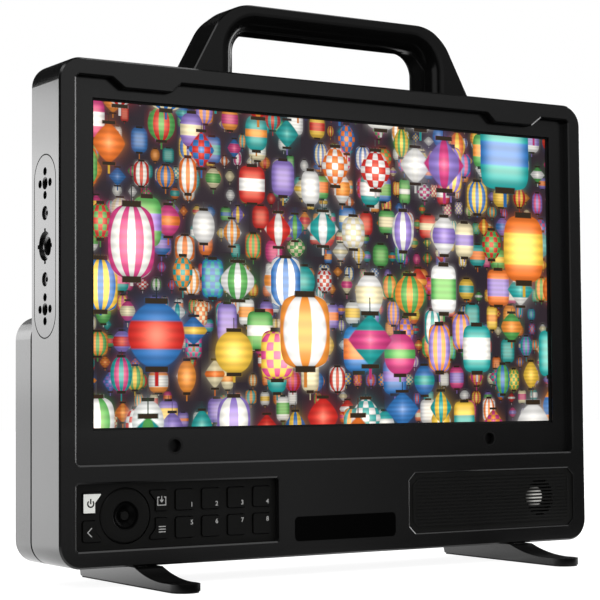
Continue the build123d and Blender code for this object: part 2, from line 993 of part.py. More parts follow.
def keypad_screws():
    """Long screws through the board and the guide into the front wall."""
    length = guide_thickness + board_gap + board_thickness + front_wall / 2 - 0.3
    screw = cap_screw(inner_head_radius, inner_head_height, inner_shank_radius, length,
                      inner_head_radius / 2)
    seat = keypad_board_depth + board_thickness
    return group(placed(screw, spot(x, seat, height), "+y") for x, height in guide_screw_places())


def turned(points, x, height):
    """A profile of radius and depth, turned about an axis that faces the viewer."""
    profile = Plane.XZ * shape_of([(radius, -depth) for radius, depth in points])
    solid = revolve(profile, Axis.Z)
    return Pos(*spot(x, 0, height)) * Rot(90, 0, 0) * solid


def rocker_pins(radius_from, radius_to):
    """Two short pins along Z, through the rocker's pivot."""
    pins = []
    for side, facing in ((1, "+z"), (-1, "-z")):
        point = spot(rocker_x, rocker_pivot_depth, lower_recess_middle + side * radius_from)
        pins.append(peg(point, facing, pivot_pin_radius, radius_to - radius_from))
    return pins


def nav_ring():
    """The tilting ring: a disc, a hub behind it and two pins that sit in the gimbal."""
    face = keypad_depth - rocker_proud
    hub_end = rocker_pivot_depth + pivot_pin_radius + 0.4
    profile = [
        (rocker_bore, face + 0.5),
        (rocker_bore + 0.8, face + 0.1),
        (rocker_radius - 2.6, face),
        (rocker_radius - 0.7, face + 0.1),
        (rocker_radius, face + 0.7),
        (rocker_radius, face + rocker_disc_thickness),
        (rocker_hub_radius, face + rocker_disc_thickness),
        (rocker_hub_radius, hub_end),
        (rocker_bore, hub_end),
    ]
    ring = turned(profile, rocker_x, lower_recess_middle)
    for pin in rocker_pins(rocker_hub_radius - 0.6, gimbal_outer_radius - 0.3):
        ring += pin
    return ring


def nav_gimbal():
    """The ring between the rocker and the guide, so that the rocker tilts both ways."""
    start = rocker_pivot_depth - gimbal_thickness / 2
    centre = spot(rocker_x, start, lower_recess_middle)
    gimbal = tube(centre, "+y", gimbal_outer_radius, gimbal_inner_radius, gimbal_thickness)
    for side, facing in ((1, "+x"), (-1, "-x")):
        root = gimbal_outer_radius - 0.5
        point = spot(rocker_x + side * root, rocker_pivot_depth, lower_recess_middle)
        gimbal += peg(point, facing, pivot_pin_radius, pivot_pin_radius + 1.3)
    for side, facing in ((1, "+z"), (-1, "-z")):
        point = spot(rocker_x, rocker_pivot_depth, lower_recess_middle + side * rocker_hub_radius)
        gimbal -= peg(point, facing, pivot_pin_radius + running_clearance, gimbal_outer_radius)
    return gimbal


def select_button():
    """The push button in the rocker: a dished cap with a small nub in its middle."""
    face = keypad_depth - rocker_proud + 0.5
    guided = rocker_bore - running_clearance
    floor = face + button_dish_depth
    nub = floor - button_nub_height
    end = keypad_board_depth - button_travel - key_flange_gap
    profile = [
        (0, nub),
        (button_nub_radius - 0.5, nub),
        (button_nub_radius, nub + 0.5),
        (button_nub_radius, floor),
        (button_dish_radius - 2.2, floor),
        (button_dish_radius, face),
        (guided - 0.3, face),
        (guided, face + 0.3),
        (guided, rocker_pivot_depth),
        (key_stem_radius, rocker_pivot_depth),
        (key_stem_radius, end),
        (0, end),
    ]
    return turned(profile, rocker_x, lower_recess_middle)


def speaker_grille():
    """A plate with level grooves, cut right through in front of the speaker."""
    outline = lower_recess_outline(grille_x, grille_corner_cut, grille_fit)
    plate = front_view(outline, grille_depth, grille_depth + grille_thickness)
    field = lower_recess_outline(grille_x, grille_corner_cut, grille_border)
    plate += front_view(field, grille_depth - grille_rise, grille_depth)
    usable = lower_recess_height - 2 * grille_corner_cut / 2
    count = int(usable / slit_pitch)
    length = lower_recess_width - 2 * slit_end_margin
    groove_end = grille_depth - grille_rise + groove_depth
    opening = speaker_opening_radius - slit_width / 2
    for slit in range(count):
        height = lower_recess_middle + (slit - (count - 1) / 2) * slit_pitch
        plate -= slab(between(grille_x, length), (0, groove_end), between(height, slit_width))
        half_squared = opening ** 2 - (height - speaker_height) ** 2
        if half_squared > slit_pitch ** 2:
            across = between(speaker_x, 2 * math.sqrt(half_squared))
            plate -= slab(across, (0, front_wall), between(height, slit_width))
    return plate


def speaker_frame():
    seat = spot(speaker_x, speaker_seat_depth, speaker_height)
    flange_back = speaker_seat_depth + speaker_flange_thickness
    basket = spot(speaker_x, flange_back, speaker_height)
    frame = peg(seat, "+y", speaker_flange_radius, speaker_flange_thickness)
    frame += peg(basket, "+y", speaker_basket_radius, speaker_basket_depth)
    frame -= peg(seat, "+y", speaker_opening_radius + 0.4,
                 speaker_flange_thickness + speaker_basket_depth - 1.5)
    return frame


def speaker_cone():
    """A shallow paper cone with a bright dome in its middle and a coil tube behind."""
    rim = speaker_opening_radius + 0.3
    rim_depth = speaker_seat_depth + 0.4
    neck_depth = rim_depth + speaker_cone_drop
    sheet = speaker_cone_thickness
    dome = speaker_dome_radius
    arc_steps = 6
    front = []
    for step in range(arc_steps + 1):
        radius = dome * step / arc_steps
        rise = speaker_dome_rise * (1 - (radius / dome) ** 2)
        front.append((radius, neck_depth - rise))
    back = [(radius, depth + sheet) for radius, depth in reversed(front[:-1])]
    outline = front + [(rim - 1.0, rim_depth), (rim, rim_depth), (rim, rim_depth + sheet),
                       (rim - 1.0, rim_depth + sheet), (dome, neck_depth + sheet)]
    coil_end = neck_depth + sheet + 3.0
    outline += [(dome, coil_end), (dome - 0.6, coil_end), (dome - 0.6, neck_depth + sheet)]
    return turned(outline + back, speaker_x, speaker_height)


def speaker_magnet():
    start = speaker_seat_depth + speaker_flange_thickness + speaker_basket_depth
    point = spot(speaker_x, start, speaker_height)
    return peg(point, "+y", speaker_magnet_radius, speaker_magnet_length)


def badge_plate():
    outline = rounded(0, badge_bottom + badge_height / 2, badge_width, badge_height, badge_corner)
    return front_view(outline, badge_pocket - badge_thickness, badge_pocket)


def tapped_hole(point, facing, radius, mouth, length):
    """A plain hole at the thread's inner size, with a cone at its mouth."""
    lead = mouth - radius
    cone = Pos(0, 0, lead / 2) * Cone(radius, mouth, lead)
    hole = Pos(0, 0, (lead - length) / 2) * Cylinder(radius, length - lead)
    return placed(Pos(0, 0, -lead) * (cone + hole), point, facing)


def side_mount_plate():
    """The right accessory plate: a wide thread in its middle and a pin pattern each end."""
    floor = half_width - mount_plate_thickness
    depth = mount_plate_depth + mount_hole_line
    plate = side_view(mount_outline(), floor, half_width)
    middle = spot(half_width, depth, mount_plate_height)
    plate -= peg(middle, "-x", big_counterbore_radius, big_counterbore_depth)
    for across in (notch_width, 2 * notch_reach):
        up = 2 * notch_reach if across == notch_width else notch_width
        plate -= slab((half_width - big_counterbore_depth, half_width),
                      between(depth, across), between(mount_plate_height, up))
    below = spot(half_width - big_counterbore_depth, depth, mount_plate_height)
    plate -= tapped_hole(below, "+x", big_thread_radius, big_thread_mouth,
                         mount_plate_thickness - big_counterbore_depth)
    for height in between(mount_plate_height, small_thread_spacing):
        plate -= pin_pattern(depth, height)
    for offset in mount_screw_offsets():
        point = spot(half_width, depth, mount_plate_height + offset)
        head = mount_screw_head + mount_screw_room
        plate -= peg(point, "-x", head, mount_screw_head_height + mount_screw_sink)
        plate -= peg(point, "-x", mount_screw_shank + screw_clearance, mount_plate_thickness)
    return plate


def pin_pattern(depth, height):
    """A narrow thread with four locating holes round it."""
    middle = spot(half_width, depth, height)
    pattern = tapped_hole(middle, "+x", small_thread_radius, small_thread_mouth,
                          mount_plate_thickness)
    steps = ((pin_hole_circle, 0), (-pin_hole_circle, 0), (0, pin_hole_circle), (0, -pin_hole_circle))
    for along, up in steps:
        point = spot(half_width, depth + along, height + up)
        pattern += peg(point, "-x", pin_hole_radius, pin_hole_depth)
    return pattern


def side_mount_screws():
    screw = cap_screw(mount_screw_head, mount_screw_head_height, mount_screw_shank,
                      mount_screw_length, mount_screw_head * 0.45)
    depth = mount_plate_depth + mount_hole_line
    seat = half_width - mount_screw_head_height - mount_screw_sink
    screws = []
    for offset in mount_screw_offsets():
        point = spot(seat, depth, mount_plate_height + offset)
        screws += both_sides(placed(screw, point, "+x"))
    return group(screws)


def handle_outline():
    top_half = handle_foot_half - handle_lean * handle_height
    base = body_height
    top = body_height + handle_height
    points = [(-handle_foot_half, base), (-top_half, top), (top_half, top), (handle_foot_half, base)]
    outer = shape_of(points)
    corners = [v for v in outer.vertices() if v.Y > base + 1]
    return fillet(corners, handle_corner)


def grip_outline():
    """The finger opening, run on below the handle so that the cut is clean."""
    below = handle_height
    middle = body_height + (grip_height - below) / 2
    box = Pos(0, middle) * Rectangle(2 * grip_half, grip_height + below)
    corners = [v for v in box.vertices() if v.Y > body_height]
    return fillet(corners, grip_corner)


def handle():
    back = handle_front + handle_thickness
    bar = front_view(handle_outline(), handle_front, back)
    bar -= front_view(grip_outline(), handle_front, back)
    low = foot_height + body_height

    def rim(y, inner):
        edges = bar.edges().filter_by_position(Axis.Y, y - 0.01, y + 0.01)
        loop = [edge for edge in edges if edge.center().Z > low + 0.1]
        is_inner = [is_on_grip(edge) for edge in loop]
        return [edge for edge, yes in zip(loop, is_inner) if yes == inner]

    front_plane = front_y + handle_front
    back_plane = front_y + back
    bar = fillet(rim(front_plane, True) + rim(back_plane, True), grip_edge_radius)
    bar = chamfer(rim(front_plane, False), handle_front_chamfer)
    back_face = bar.faces().sort_by(Axis.Y)[-1]
    bar = chamfer(rim(back_plane, False), handle_bevel_drop, handle_bevel_depth,
                  reference=back_face)
    for x, depth in handle_screw_places():
        bar -= peg(spot(x, depth, body_height), "+z", handle_screw_radius + thread_clearance,
                   handle_screw_bite)
    return bar


def is_on_grip(edge):
    """True for an edge of the finger opening, and false for one of the outside."""
    middle = edge.center()
    height = middle.Z - foot_height - body_height
    return abs(middle.X) < grip_half + 0.1 and height < grip_height + 0.1


def handle_screws():
    length = side_wall + handle_screw_bite - 0.5
    screw = cap_screw(handle_screw_head, handle_screw_head_height, handle_screw_radius, length,
                      handle_screw_radius * 0.8)
    seat = body_height - side_wall
    return group(placed(screw, spot(x, depth, seat), "-z") for x, depth in handle_screw_places())


def foot_profile():
    """The side of a foot, from its rounded toe to its slanted heel, in depth and height."""
    toe = -foot_toe_reach
    heel = toe + foot_length
    low = pad_thickness - foot_height
    top = foot_top - foot_height
    toe_top = foot_toe_thickness - foot_height
    flat_end = toe + foot_toe_flat
    slope_middle = (flat_end / 2, (top + toe_top) / 2 - foot_slope_sag)
    edges = [
        Line((toe, low), (heel - foot_back_slant, low)),
        Line((heel - foot_back_slant, low), (heel, top)),
        Line((heel, top), (0, top)),
        ThreePointArc((0, top), slope_middle, (flat_end, toe_top)),
        Line((flat_end, toe_top), (toe, toe_top)),
        Line((toe, toe_top), (toe, low)),
    ]
    return make_face(Curve() + edges)


def foot_plan(inset=0.0):
    """A foot from above, drawn about the origin in X and Y: a long tongue, round in front."""
    half = foot_width / 2 - inset
    toe = -foot_length / 2 + inset
    heel = foot_length / 2 - inset
    nose = toe + half
    edges = [
        Line((-half, heel), (-half, nose)),
        ThreePointArc((-half, nose), (0, toe), (half, nose)),
        Line((half, nose), (half, heel)),
        Line((half, heel), (-half, heel)),
    ]
    return make_face(Curve() + edges)


def foot(x):
    left = x - foot_width / 2
    blank = side_view(foot_profile(), left, left + foot_width)
    shape = blank & (Pos(x, 0, 0) * extrude(foot_plan(), foot_height))
    pivot = spot(x, foot_pivot_depth, -foot_height)
    head_room = pivot_head_radius + pivot_head_clearance
    head_top = pad_thickness + pivot_head_height + foot_play
    shape -= peg(pivot, "+z", head_room, head_top)
    return shape - peg(pivot, "+z", pivot_shoulder_radius + running_clearance, foot_height)


def foot_pad(x):
    """The rubber sole, open round the pivot's head, and short of the heel's slant."""
    outline = foot_plan(pad_inset)
    pad = Pos(x, 0, 0) * extrude(outline, pad_thickness)
    heel = foot_length / 2 - foot_back_slant - pad_inset
    pad &= Pos(x, heel - foot_length / 2, 0) * Box(foot_width, foot_length, foot_height)
    pivot = spot(x, foot_pivot_depth, -foot_height)
    return pad - peg(pivot, "+z", pivot_head_radius + pivot_head_clearance, pad_thickness)


def foot_washers():
    washers = []
    inner = pivot_shoulder_radius + running_clearance
    for x in (-foot_middle_x, foot_middle_x):
        point = spot(x, foot_pivot_depth, -washer_thickness)
        washers.append(tube(point, "+z", washer_radius, inner, washer_thickness))
    return group(washers)


def foot_pivots():
    """Shoulder screws: the head is sunk in the foot and the thread is in the body."""
    shoulder = foot_height - pad_thickness - pivot_head_height
    pivots = []
    for x in (-foot_middle_x, foot_middle_x):
        low = spot(x, foot_pivot_depth, pad_thickness - foot_height)
        seat = spot(x, foot_pivot_depth, -shoulder)
        base = spot(x, foot_pivot_depth, 0)
        screw = peg(low, "+z", pivot_head_radius, pivot_head_height)
        screw += peg(seat, "+z", pivot_shoulder_radius, shoulder)
        screw += peg(base, "+z", pivot_thread_radius, pivot_thread_length)
        driver = extrude(RegularPolygon(2.3, 6), pivot_head_height / 2)
        pivots.append(screw - Pos(*low) * driver)
    return group(pivots)


def back_plate():
    """The plate that closes the body, with the wall-plate threads and the rear openings."""
    plate = front_view(body_outline(side_wall + back_plate_fit), back_plate_depth, body_depth)
    for x, height in wall_plate_places():
        plate += peg(spot(x, back_plate_depth, height), "-y", wall_plate_boss,
                     wall_plate_boss_length)
    for x, height in io_screw_places():
        plate += peg(spot(x, body_depth, height), "+y", post_radius - 0.5, io_board_stand)
    cuts = [
        peg(spot(x, body_depth, height), "-y", wall_plate_hole,
            back_plate_thickness + wall_plate_boss_length)
        for x, height in wall_plate_places()
    ]
    for x, height in plate_post_places():
        cuts.append(countersink(x, height))
    thread = inner_shank_radius + thread_clearance
    for x, height in io_screw_places():
        cuts.append(peg(spot(x, io_board_depth, height), "-y", thread, inner_screw_length))
    thread = housing_screw_shank + thread_clearance
    for x, height in housing_screw_places():
        cuts.append(peg(spot(x, body_depth, height), "-y", thread, back_plate_thickness))
    cuts += vent_cuts()
    window = rounded(connector_panel_x, connector_panel_height, cable_window_width,
                     cable_window_height, 4)
    cuts.append(front_view(window, back_plate_depth, body_depth))
    cuts.append(peg(spot(fan_x, back_plate_depth, fan_height), "+y", fan_opening_radius,
                    back_plate_thickness))
    for cut in cuts:
        plate -= cut
    return plate


def vent_cuts():
    """Upright slots in the upper half of the back, on both sides of the wall plate."""
    slots = []
    for slot in range(vent_slots):
        x = half_width - vent_side_inset - slot * vent_slot_pitch
        outline = Pos(x, upper_back_middle) * (
            Rot(0, 0, 90) * SlotOverall(vent_slot_length, vent_slot_width))
        slots += both_sides(front_view(outline, back_plate_depth, body_depth))
    return slots


def countersink(x, height):
    """The conical seat and the clearance hole of one back plate screw."""
    shank = plate_screw_shank + screw_clearance
    wide = plate_screw_head + screw_clearance
    rise = plate_screw_head_height
    cone = Pos(0, 0, -rise / 2) * Cone(shank, wide, rise)
    hole = Pos(0, 0, -back_plate_thickness / 2) * Cylinder(shank, back_plate_thickness)
    return placed(cone + hole, spot(x, body_depth, height), "+y")


def back_plate_screws():
    shank = plate_screw_shank
    rise = plate_screw_head_height
    length = back_plate_thickness + plate_screw_length - rise - 0.5
    cone = Pos(0, 0, -rise / 2) * Cone(shank, plate_screw_head, rise)
    bar = Pos(0, 0, -rise - length / 2) * Cylinder(shank, length)
    driver = extrude(RegularPolygon(shank * 0.7, 6), rise / 2)
    screw = cone + bar - Pos(0, 0, -rise / 2) * driver
    return group(placed(screw, spot(x, body_depth, height), "+y")
                 for x, height in plate_post_places())


def seam_seal():
    """The dark seal that sets the rear housing off from the body."""
    ring = housing_outline(seam_inset) - housing_outline(seam_inset + seal_width)
    return front_view(ring, body_depth, housing_start)


def rear_housing():
    shell = front_view(housing_outline(), housing_start, housing_end)
    back = shell.faces().sort_by(Axis.Y)[-1]
    shell = chamfer(back.edges(), housing_edge_chamfer)
    shell -= front_view(housing_outline(housing_wall), housing_start, housing_wall_depth)
    for x, height in housing_screw_places():
        shell += peg(spot(x, body_depth, height), "+y", housing_post_radius,
                     housing_wall_depth - body_depth)
    window = rounded(connector_panel_x, connector_panel_height, connector_window_width,
                     connector_window_height, connector_window_corner)
    cuts = [front_view(window, housing_wall_depth, housing_end)]
    sink = housing_screw_head_height + housing_screw_sink
    for x, height in housing_screw_places():
        back_point = spot(x, housing_end, height)
        cuts.append(peg(back_point, "-y", housing_screw_head + screw_clearance, sink))
        cuts.append(peg(back_point, "-y", housing_screw_shank + screw_clearance,
                        housing_end - body_depth))
    thread = inner_shank_radius + thread_clearance
    for x, height in fan_screw_places():
        cuts.append(peg(spot(x, housing_wall_depth, height), "+y", thread,
                        inner_screw_length - fan_flange + 0.2))
    for cut in cuts + fan_slots() + exhaust_cuts():
        shell -= cut
    return shell


def fan_slots():
    """Level slots in the back, as long as the fan's round opening is wide at their height."""
    slots = []
    count = int(2 * (fan_opening_radius - fan_slot_width) / fan_slot_pitch) + 1
    for slot in range(count):
        offset_up = (slot - (count - 1) / 2) * fan_slot_pitch
        half = math.sqrt(fan_opening_radius ** 2 - offset_up ** 2) - 1
        outline = Pos(fan_x, fan_height + offset_up) * SlotOverall(2 * half, fan_slot_width)
        slots.append(front_view(outline, housing_wall_depth, housing_end))
    return slots


def exhaust_cuts():
    """A row of slots in the housing's upper wall, over the boards."""
    cuts = []
    middle = (housing_start + housing_wall_depth) / 2
    for slot in range(exhaust_slots):
        x = connector_panel_x + (slot - (exhaust_slots - 1) / 2) * exhaust_slot_pitch
        cuts.append(slab(between(x, exhaust_slot_width), between(middle, exhaust_slot_length),
                         (housing_height - housing_wall, housing_height)))
    return cuts


def rear_housing_screws():
    seat = housing_end - housing_screw_head_height - housing_screw_sink
    length = seat - body_depth + housing_screw_bite
    screw = cap_screw(housing_screw_head, housing_screw_head_height, housing_screw_shank, length,
                      housing_screw_head * 0.45)
    return group(placed(screw, spot(x, seat, height), "+y") for x, height in housing_screw_places())


def video_jack_places():
    height = connector_panel_height + connector_row_spacing / 2
    return [
        (connector_panel_x + video_jack_first + index * video_jack_pitch, height)
        for index in range(video_jack_count)
    ]


def flat_port_places():
    height = connector_panel_height + connector_row_spacing / 2
    return [
        (connector_panel_x + flat_port_first + index * flat_port_pitch, height)
        for index in range(flat_port_count)
    ]


def network_port_place():
    height = connector_panel_height - connector_row_spacing / 2
    return (connector_panel_x + network_port_x, height)


def power_inlet_place():
    height = connector_panel_height - connector_row_spacing / 2
    return (connector_panel_x + power_inlet_x, height)


def connector_plate():
    """The flat plate in the housing's window that the connectors stand out of."""
    overlap = 2 * connector_plate_overlap
    outline = rounded(connector_panel_x, connector_panel_height, connector_window_width + overlap,
                      connector_window_height + overlap, connector_window_corner)
    plate = front_view(outline, connector_plate_depth, housing_wall_depth)
    gap = connector_hole_gap
    for x, height in video_jack_places():
        plate -= peg(spot(x, connector_plate_depth, height), "+y", video_jack_radius + gap,
                     connector_plate_thickness)
    flats = [(place, flat_port_width, flat_port_height) for place in flat_port_places()]
    flats.append((network_port_place(), network_port_width, network_port_height))
    for (x, height), width, tall in flats:
        plate -= slab(between(x, width + 2 * gap), (connector_plate_depth, housing_wall_depth),
                      between(height, tall + 2 * gap))
    x, height = power_inlet_place()
    return plate - peg(spot(x, connector_plate_depth, height), "+y", power_inlet_radius + gap,
                       connector_plate_thickness)


def io_board():
    outline = rounded(connector_panel_x, connector_panel_height, io_board_width, io_board_height, 2)
    board = front_view(outline, io_board_depth, io_board_depth + board_thickness)
    for x, height in io_screw_places():
        board -= peg(spot(x, io_board_depth, height), "+y",
                     inner_shank_radius + screw_clearance, board_thickness)
    return board


def video_jack(x, height):
    """A bayonet jack: a square body on the board and a barrel with two lugs."""
    start = io_board_depth + board_thickness
    end = housing_end + video_jack_reach
    body = slab(between(x, video_jack_body), (start, connector_plate_depth - gap_behind_plate()),
                between(height, video_jack_body))
    barrel_start = spot(x, start, height)
    jack = body + peg(barrel_start, "+y", video_jack_radius, end - start)
    lug_reach = video_jack_radius + video_jack_lug
    lug = Pos(*spot(x, end - 3.4, height)) * Rot(0, 90, 0) * Cylinder(video_jack_lug, 2 * lug_reach)
    jack += lug
    mouth = spot(x, end, height)
    jack -= peg(mouth, "-y", video_jack_bore, video_jack_reach)
    return jack + peg(mouth, "-y", video_jack_pin, video_jack_reach + 1)


def gap_behind_plate():
    return connector_hole_gap


def sdi_connectors():
    return group(video_jack(x, height) for x, height in video_jack_places())


def hdmi_ports():
    ports = []
    start = io_board_depth + board_thickness
    end = housing_wall_depth + port_proud
    for x, height in flat_port_places():
        shell = slab(between(x, flat_port_width), (start, end), between(height, flat_port_height))
        hollow = slab(between(x, flat_port_width - 2 * flat_port_wall), (end - 8, end),
                      between(height, flat_port_height - 2 * flat_port_wall))
        tongue = slab(between(x, flat_port_width * 0.7), (end - 9, end - 1.0),
                      between(height + 0.4, 1.2))
        ports.append(shell - hollow + tongue)
    return group(ports)


def network_port():
    x, height = network_port_place()
    start = io_board_depth + board_thickness
    end = housing_wall_depth + port_proud
    shell = slab(between(x, network_port_width), (start, end), between(height, network_port_height))
    inside_width = network_port_width - 2 * network_port_wall
    inside_height = network_port_height - 2 * network_port_wall
    pocket = slab(between(x, inside_width), (end - network_port_pocket, end),
                  between(height, inside_height))
    return shell - pocket


def power_inlet():
    """A round inlet with four pins in its hollow."""
    x, height = power_inlet_place()
    start = io_board_depth + board_thickness
    end = housing_end
    body = peg(spot(x, start, height), "+y", power_inlet_radius, end - start)
    mouth = spot(x, end, height)
    body -= peg(mouth, "-y", power_inlet_bore, power_inlet_pocket)
    floor = end - power_inlet_pocket
    reach = power_pin_circle / math.sqrt(2)
    for side in (-1, 1):
        for row in (-1, 1):
            point = spot(x + side * reach, floor - 0.5, height + row * reach)
            body += peg(point, "+y", power_pin_radius, power_pin_length + 0.5)
    return body


def fan_frame():
    outline = rounded(fan_x, fan_height, fan_size, fan_size, fan_corner)
    frame = front_view(outline, fan_depth, housing_wall_depth)
    centre = spot(fan_x, fan_depth, fan_height)
    frame -= peg(centre, "+y", fan_opening_radius, fan_thickness)
    strut_back = fan_depth + fan_strut_thickness
    long_strut = 2 * fan_opening_radius + 2
    frame += slab(between(fan_x, long_strut), (fan_depth, strut_back),
                  between(fan_height, fan_strut_width))
    frame += slab(between(fan_x, fan_strut_width), (fan_depth, strut_back),
                  between(fan_height, long_strut))
    frame += peg(centre, "+y", fan_hub_radius, fan_strut_thickness)
    frame -= peg(centre, "+y", fan_shaft_radius + running_clearance, fan_strut_thickness)
    shank = inner_shank_radius + screw_clearance
    for x, height in fan_screw_places():
        point = spot(x, fan_depth, height)
        frame -= peg(point, "+y", inner_head_radius + screw_clearance,
                     fan_thickness - fan_flange)
        frame -= peg(point, "+y", shank, fan_thickness)
    return frame


def fan_rotor():
    """A hub with its shaft and a ring of pitched blades."""
    hub_start = fan_depth + fan_strut_thickness + fan_running_gap
    hub_end = housing_wall_depth - fan_running_gap
    centre = spot(fan_x, hub_start, fan_height)
    rotor = peg(centre, "+y", fan_hub_radius, hub_end - hub_start)
    rotor += peg(spot(fan_x, hub_start + 1, fan_height), "-y", fan_shaft_radius,
                 1 + fan_running_gap + fan_strut_thickness - 0.2)
    middle = spot(fan_x, (hub_start + hub_end) / 2, fan_height)
    tip = fan_opening_radius - fan_tip_gap
    span = tip - fan_hub_radius + 1.5
    blade = Box(span, fan_blade_thickness, fan_blade_chord)
    for index in range(fan_blades):
        turn = Rot(0, 360 * index / fan_blades, 0)
        place = Pos(fan_hub_radius - 1.5 + span / 2, 0, 0) * Rot(fan_blade_pitch, 0, 0)
        rotor += Pos(*middle) * turn * place * blade
    limit = peg(spot(fan_x, fan_depth, fan_height), "+y", tip, fan_thickness - fan_running_gap)
    return rotor & limit


def inner_screws():
    """Every short screw inside: the screen's tray, the two boards and the fan."""
    screw = cap_screw(inner_head_radius, inner_head_height, inner_shank_radius,
                      inner_screw_length - 0.1, inner_head_radius / 2)
    screws = [
        placed(screw, spot(x, spreader_depth, height), "+y") for x, height in tray_ear_places()
    ]
    seat = main_board_depth + board_thickness
    screws += [placed(screw, spot(x, seat, height), "+y") for x, height in main_board_screw_places()]
    seat = io_board_depth + board_thickness
    screws += [placed(screw, spot(x, seat, height), "+y") for x, height in io_screw_places()]
    seat = housing_wall_depth - fan_flange
    screws += [placed(screw, spot(x, seat, height), "-y") for x, height in fan_screw_places()]
    return group(screws)


def all_nodes():
    right_plate = side_mount_plate()
    nodes = {
        "front_frame": front_frame(),
        "back_plate": back_plate(),
        "rear_housing": rear_housing(),
        "seam_seal": seam_seal(),
        "display_mask": display_mask(),
        "lcd_panel": lcd_panel(),
        "backlight_unit": backlight_unit(),
        "panel_tray": panel_tray(),
        "heat_spreader": heat_spreader(),
        "board_standoffs": board_standoffs(),
        "main_board": main_board(),
        "processor_heat_sink": processor_heat_sink(),
        "protector_sockets": protector_sockets(),
        "keypad_plate": keypad_plate(),
        "key_guide": key_guide(),
        "keypad_board": keypad_board(),
        "keypad_screws": keypad_screws(),
        "nav_ring": nav_ring(),
        "nav_gimbal": nav_gimbal(),
        "select_button": select_button(),
        "speaker_grille": speaker_grille(),
        "speaker_frame": speaker_frame(),
        "speaker_cone": speaker_cone(),
        "speaker_magnet": speaker_magnet(),
        "badge_plate": badge_plate(),
        "side_mount_right": right_plate,
        "side_mount_left": mirror(right_plate, about=Plane.YZ),
        "side_mount_screws": side_mount_screws(),
        "handle": handle(),
        "handle_screws": handle_screws(),
        "foot_left": foot(-foot_middle_x),
        "foot_right": foot(foot_middle_x),
        "foot_pad_left": foot_pad(-foot_middle_x),
        "foot_pad_right": foot_pad(foot_middle_x),
        "foot_washers": foot_washers(),
        "foot_pivots": foot_pivots(),
        "back_plate_screws": back_plate_screws(),
        "rear_housing_screws": rear_housing_screws(),
        "connector_plate": connector_plate(),
        "io_board": io_board(),
        "sdi_connectors": sdi_connectors(),
        "hdmi_ports": hdmi_ports(),
        "network_port": network_port(),
        "power_inlet": power_inlet(),
        "fan_frame": fan_frame(),
        "fan_rotor": fan_rotor(),
        "inner_screws": inner_screws(),
    }
    for name in key_outlines():
        nodes[name] = key(name)
    return nodes


os.makedirs("parts", exist_ok=True)
for node, shape in all_nodes().items():
    export_step(shape, f"parts/{node}.step")
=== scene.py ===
import math

import bmesh
import bpy
from mathutils import Matrix, Vector

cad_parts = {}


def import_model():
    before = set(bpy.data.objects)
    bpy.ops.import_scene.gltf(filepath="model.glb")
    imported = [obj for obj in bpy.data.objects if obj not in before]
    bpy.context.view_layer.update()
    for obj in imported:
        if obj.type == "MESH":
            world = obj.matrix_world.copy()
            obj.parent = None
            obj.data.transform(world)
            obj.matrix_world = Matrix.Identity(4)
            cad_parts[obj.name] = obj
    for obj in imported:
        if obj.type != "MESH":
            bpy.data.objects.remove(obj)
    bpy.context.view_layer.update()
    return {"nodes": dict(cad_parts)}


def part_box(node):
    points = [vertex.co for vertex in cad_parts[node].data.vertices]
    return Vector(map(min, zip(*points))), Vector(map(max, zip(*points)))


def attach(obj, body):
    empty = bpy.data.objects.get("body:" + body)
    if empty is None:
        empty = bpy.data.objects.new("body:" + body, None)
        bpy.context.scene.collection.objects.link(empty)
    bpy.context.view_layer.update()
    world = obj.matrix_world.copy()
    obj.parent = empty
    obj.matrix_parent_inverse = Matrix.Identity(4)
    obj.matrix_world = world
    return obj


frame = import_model()

# A field video monitor, dressed round its CAD parts. X runs to the right, Y away from the
# viewer, Z up. The object's own sizes are written in millimetres and turned into metres with
# MM; the studio at the end is written in metres.
MM = 0.001
TO_MM = 1000.0


# Node arithmetic


class Value:
    """A number in a node tree, so that a pattern can be written as plain arithmetic."""

    def __init__(self, tree, socket):
        self.tree = tree
        self.socket = socket

    def math(self, operation, *others, clamp=False):
        node = self.tree.nodes.new("ShaderNodeMath")
        node.operation = operation
        node.use_clamp = clamp
        for socket, value in zip(node.inputs, (self, *others)):
            feed(self.tree, socket, value)
        return Value(self.tree, node.outputs[0])

    def __add__(self, other):
        return self.math("ADD", other)

    def __sub__(self, other):
        return self.math("SUBTRACT", other)

    def __mul__(self, other):
        return self.math("MULTIPLY", other)

    def __truediv__(self, other):
        return self.math("DIVIDE", other)

    def __pow__(self, other):
        return self.math("POWER", other)

    def __neg__(self):
        return self * -1.0

    def size(self):
        return self.math("ABSOLUTE")

    def floor(self):
        return self.math("FLOOR")

    def wave(self):
        return self.math("COSINE")

    def root(self):
        return self.math("SQRT")

    def exponent(self):
        return self.math("EXPONENT")

    def at_least(self, limit):
        return self.math("MAXIMUM", limit)

    def at_most(self, limit):
        return self.math("MINIMUM", limit)

    def clamped(self):
        """Held between 0 and 1."""
        return self.math("MULTIPLY", 1.0, clamp=True)

    def over(self, limit):
        """1 where the number is over a limit, and 0 under it."""
        return self.math("GREATER_THAN", limit)

    def under(self, limit, softness=None):
        """1 where the number is under a limit and 0 above it, with a soft edge if asked."""
        if softness is None:
            return self.math("LESS_THAN", limit)
        return ((-self + limit) * (1.0 / softness) + 0.5).clamped()


def feed(tree, socket, value):
    """Gives a socket a number, a colour, another node's output or a Value."""
    if isinstance(value, Value):
        tree.links.new(value.socket, socket)
    elif isinstance(value, bpy.types.NodeSocket):
        tree.links.new(value, socket)
    else:
        socket.default_value = value


def rise_between(value, start, end):
    """0 up to a start, 1 from an end, and a straight rise between them."""
    return ((value - start) * (1.0 / (end - start))).clamped()


def fall_between(value, start, end):
    """1 up to a start, 0 from an end, and a straight fall between them."""
    return rise_between(-value, -end, -start)


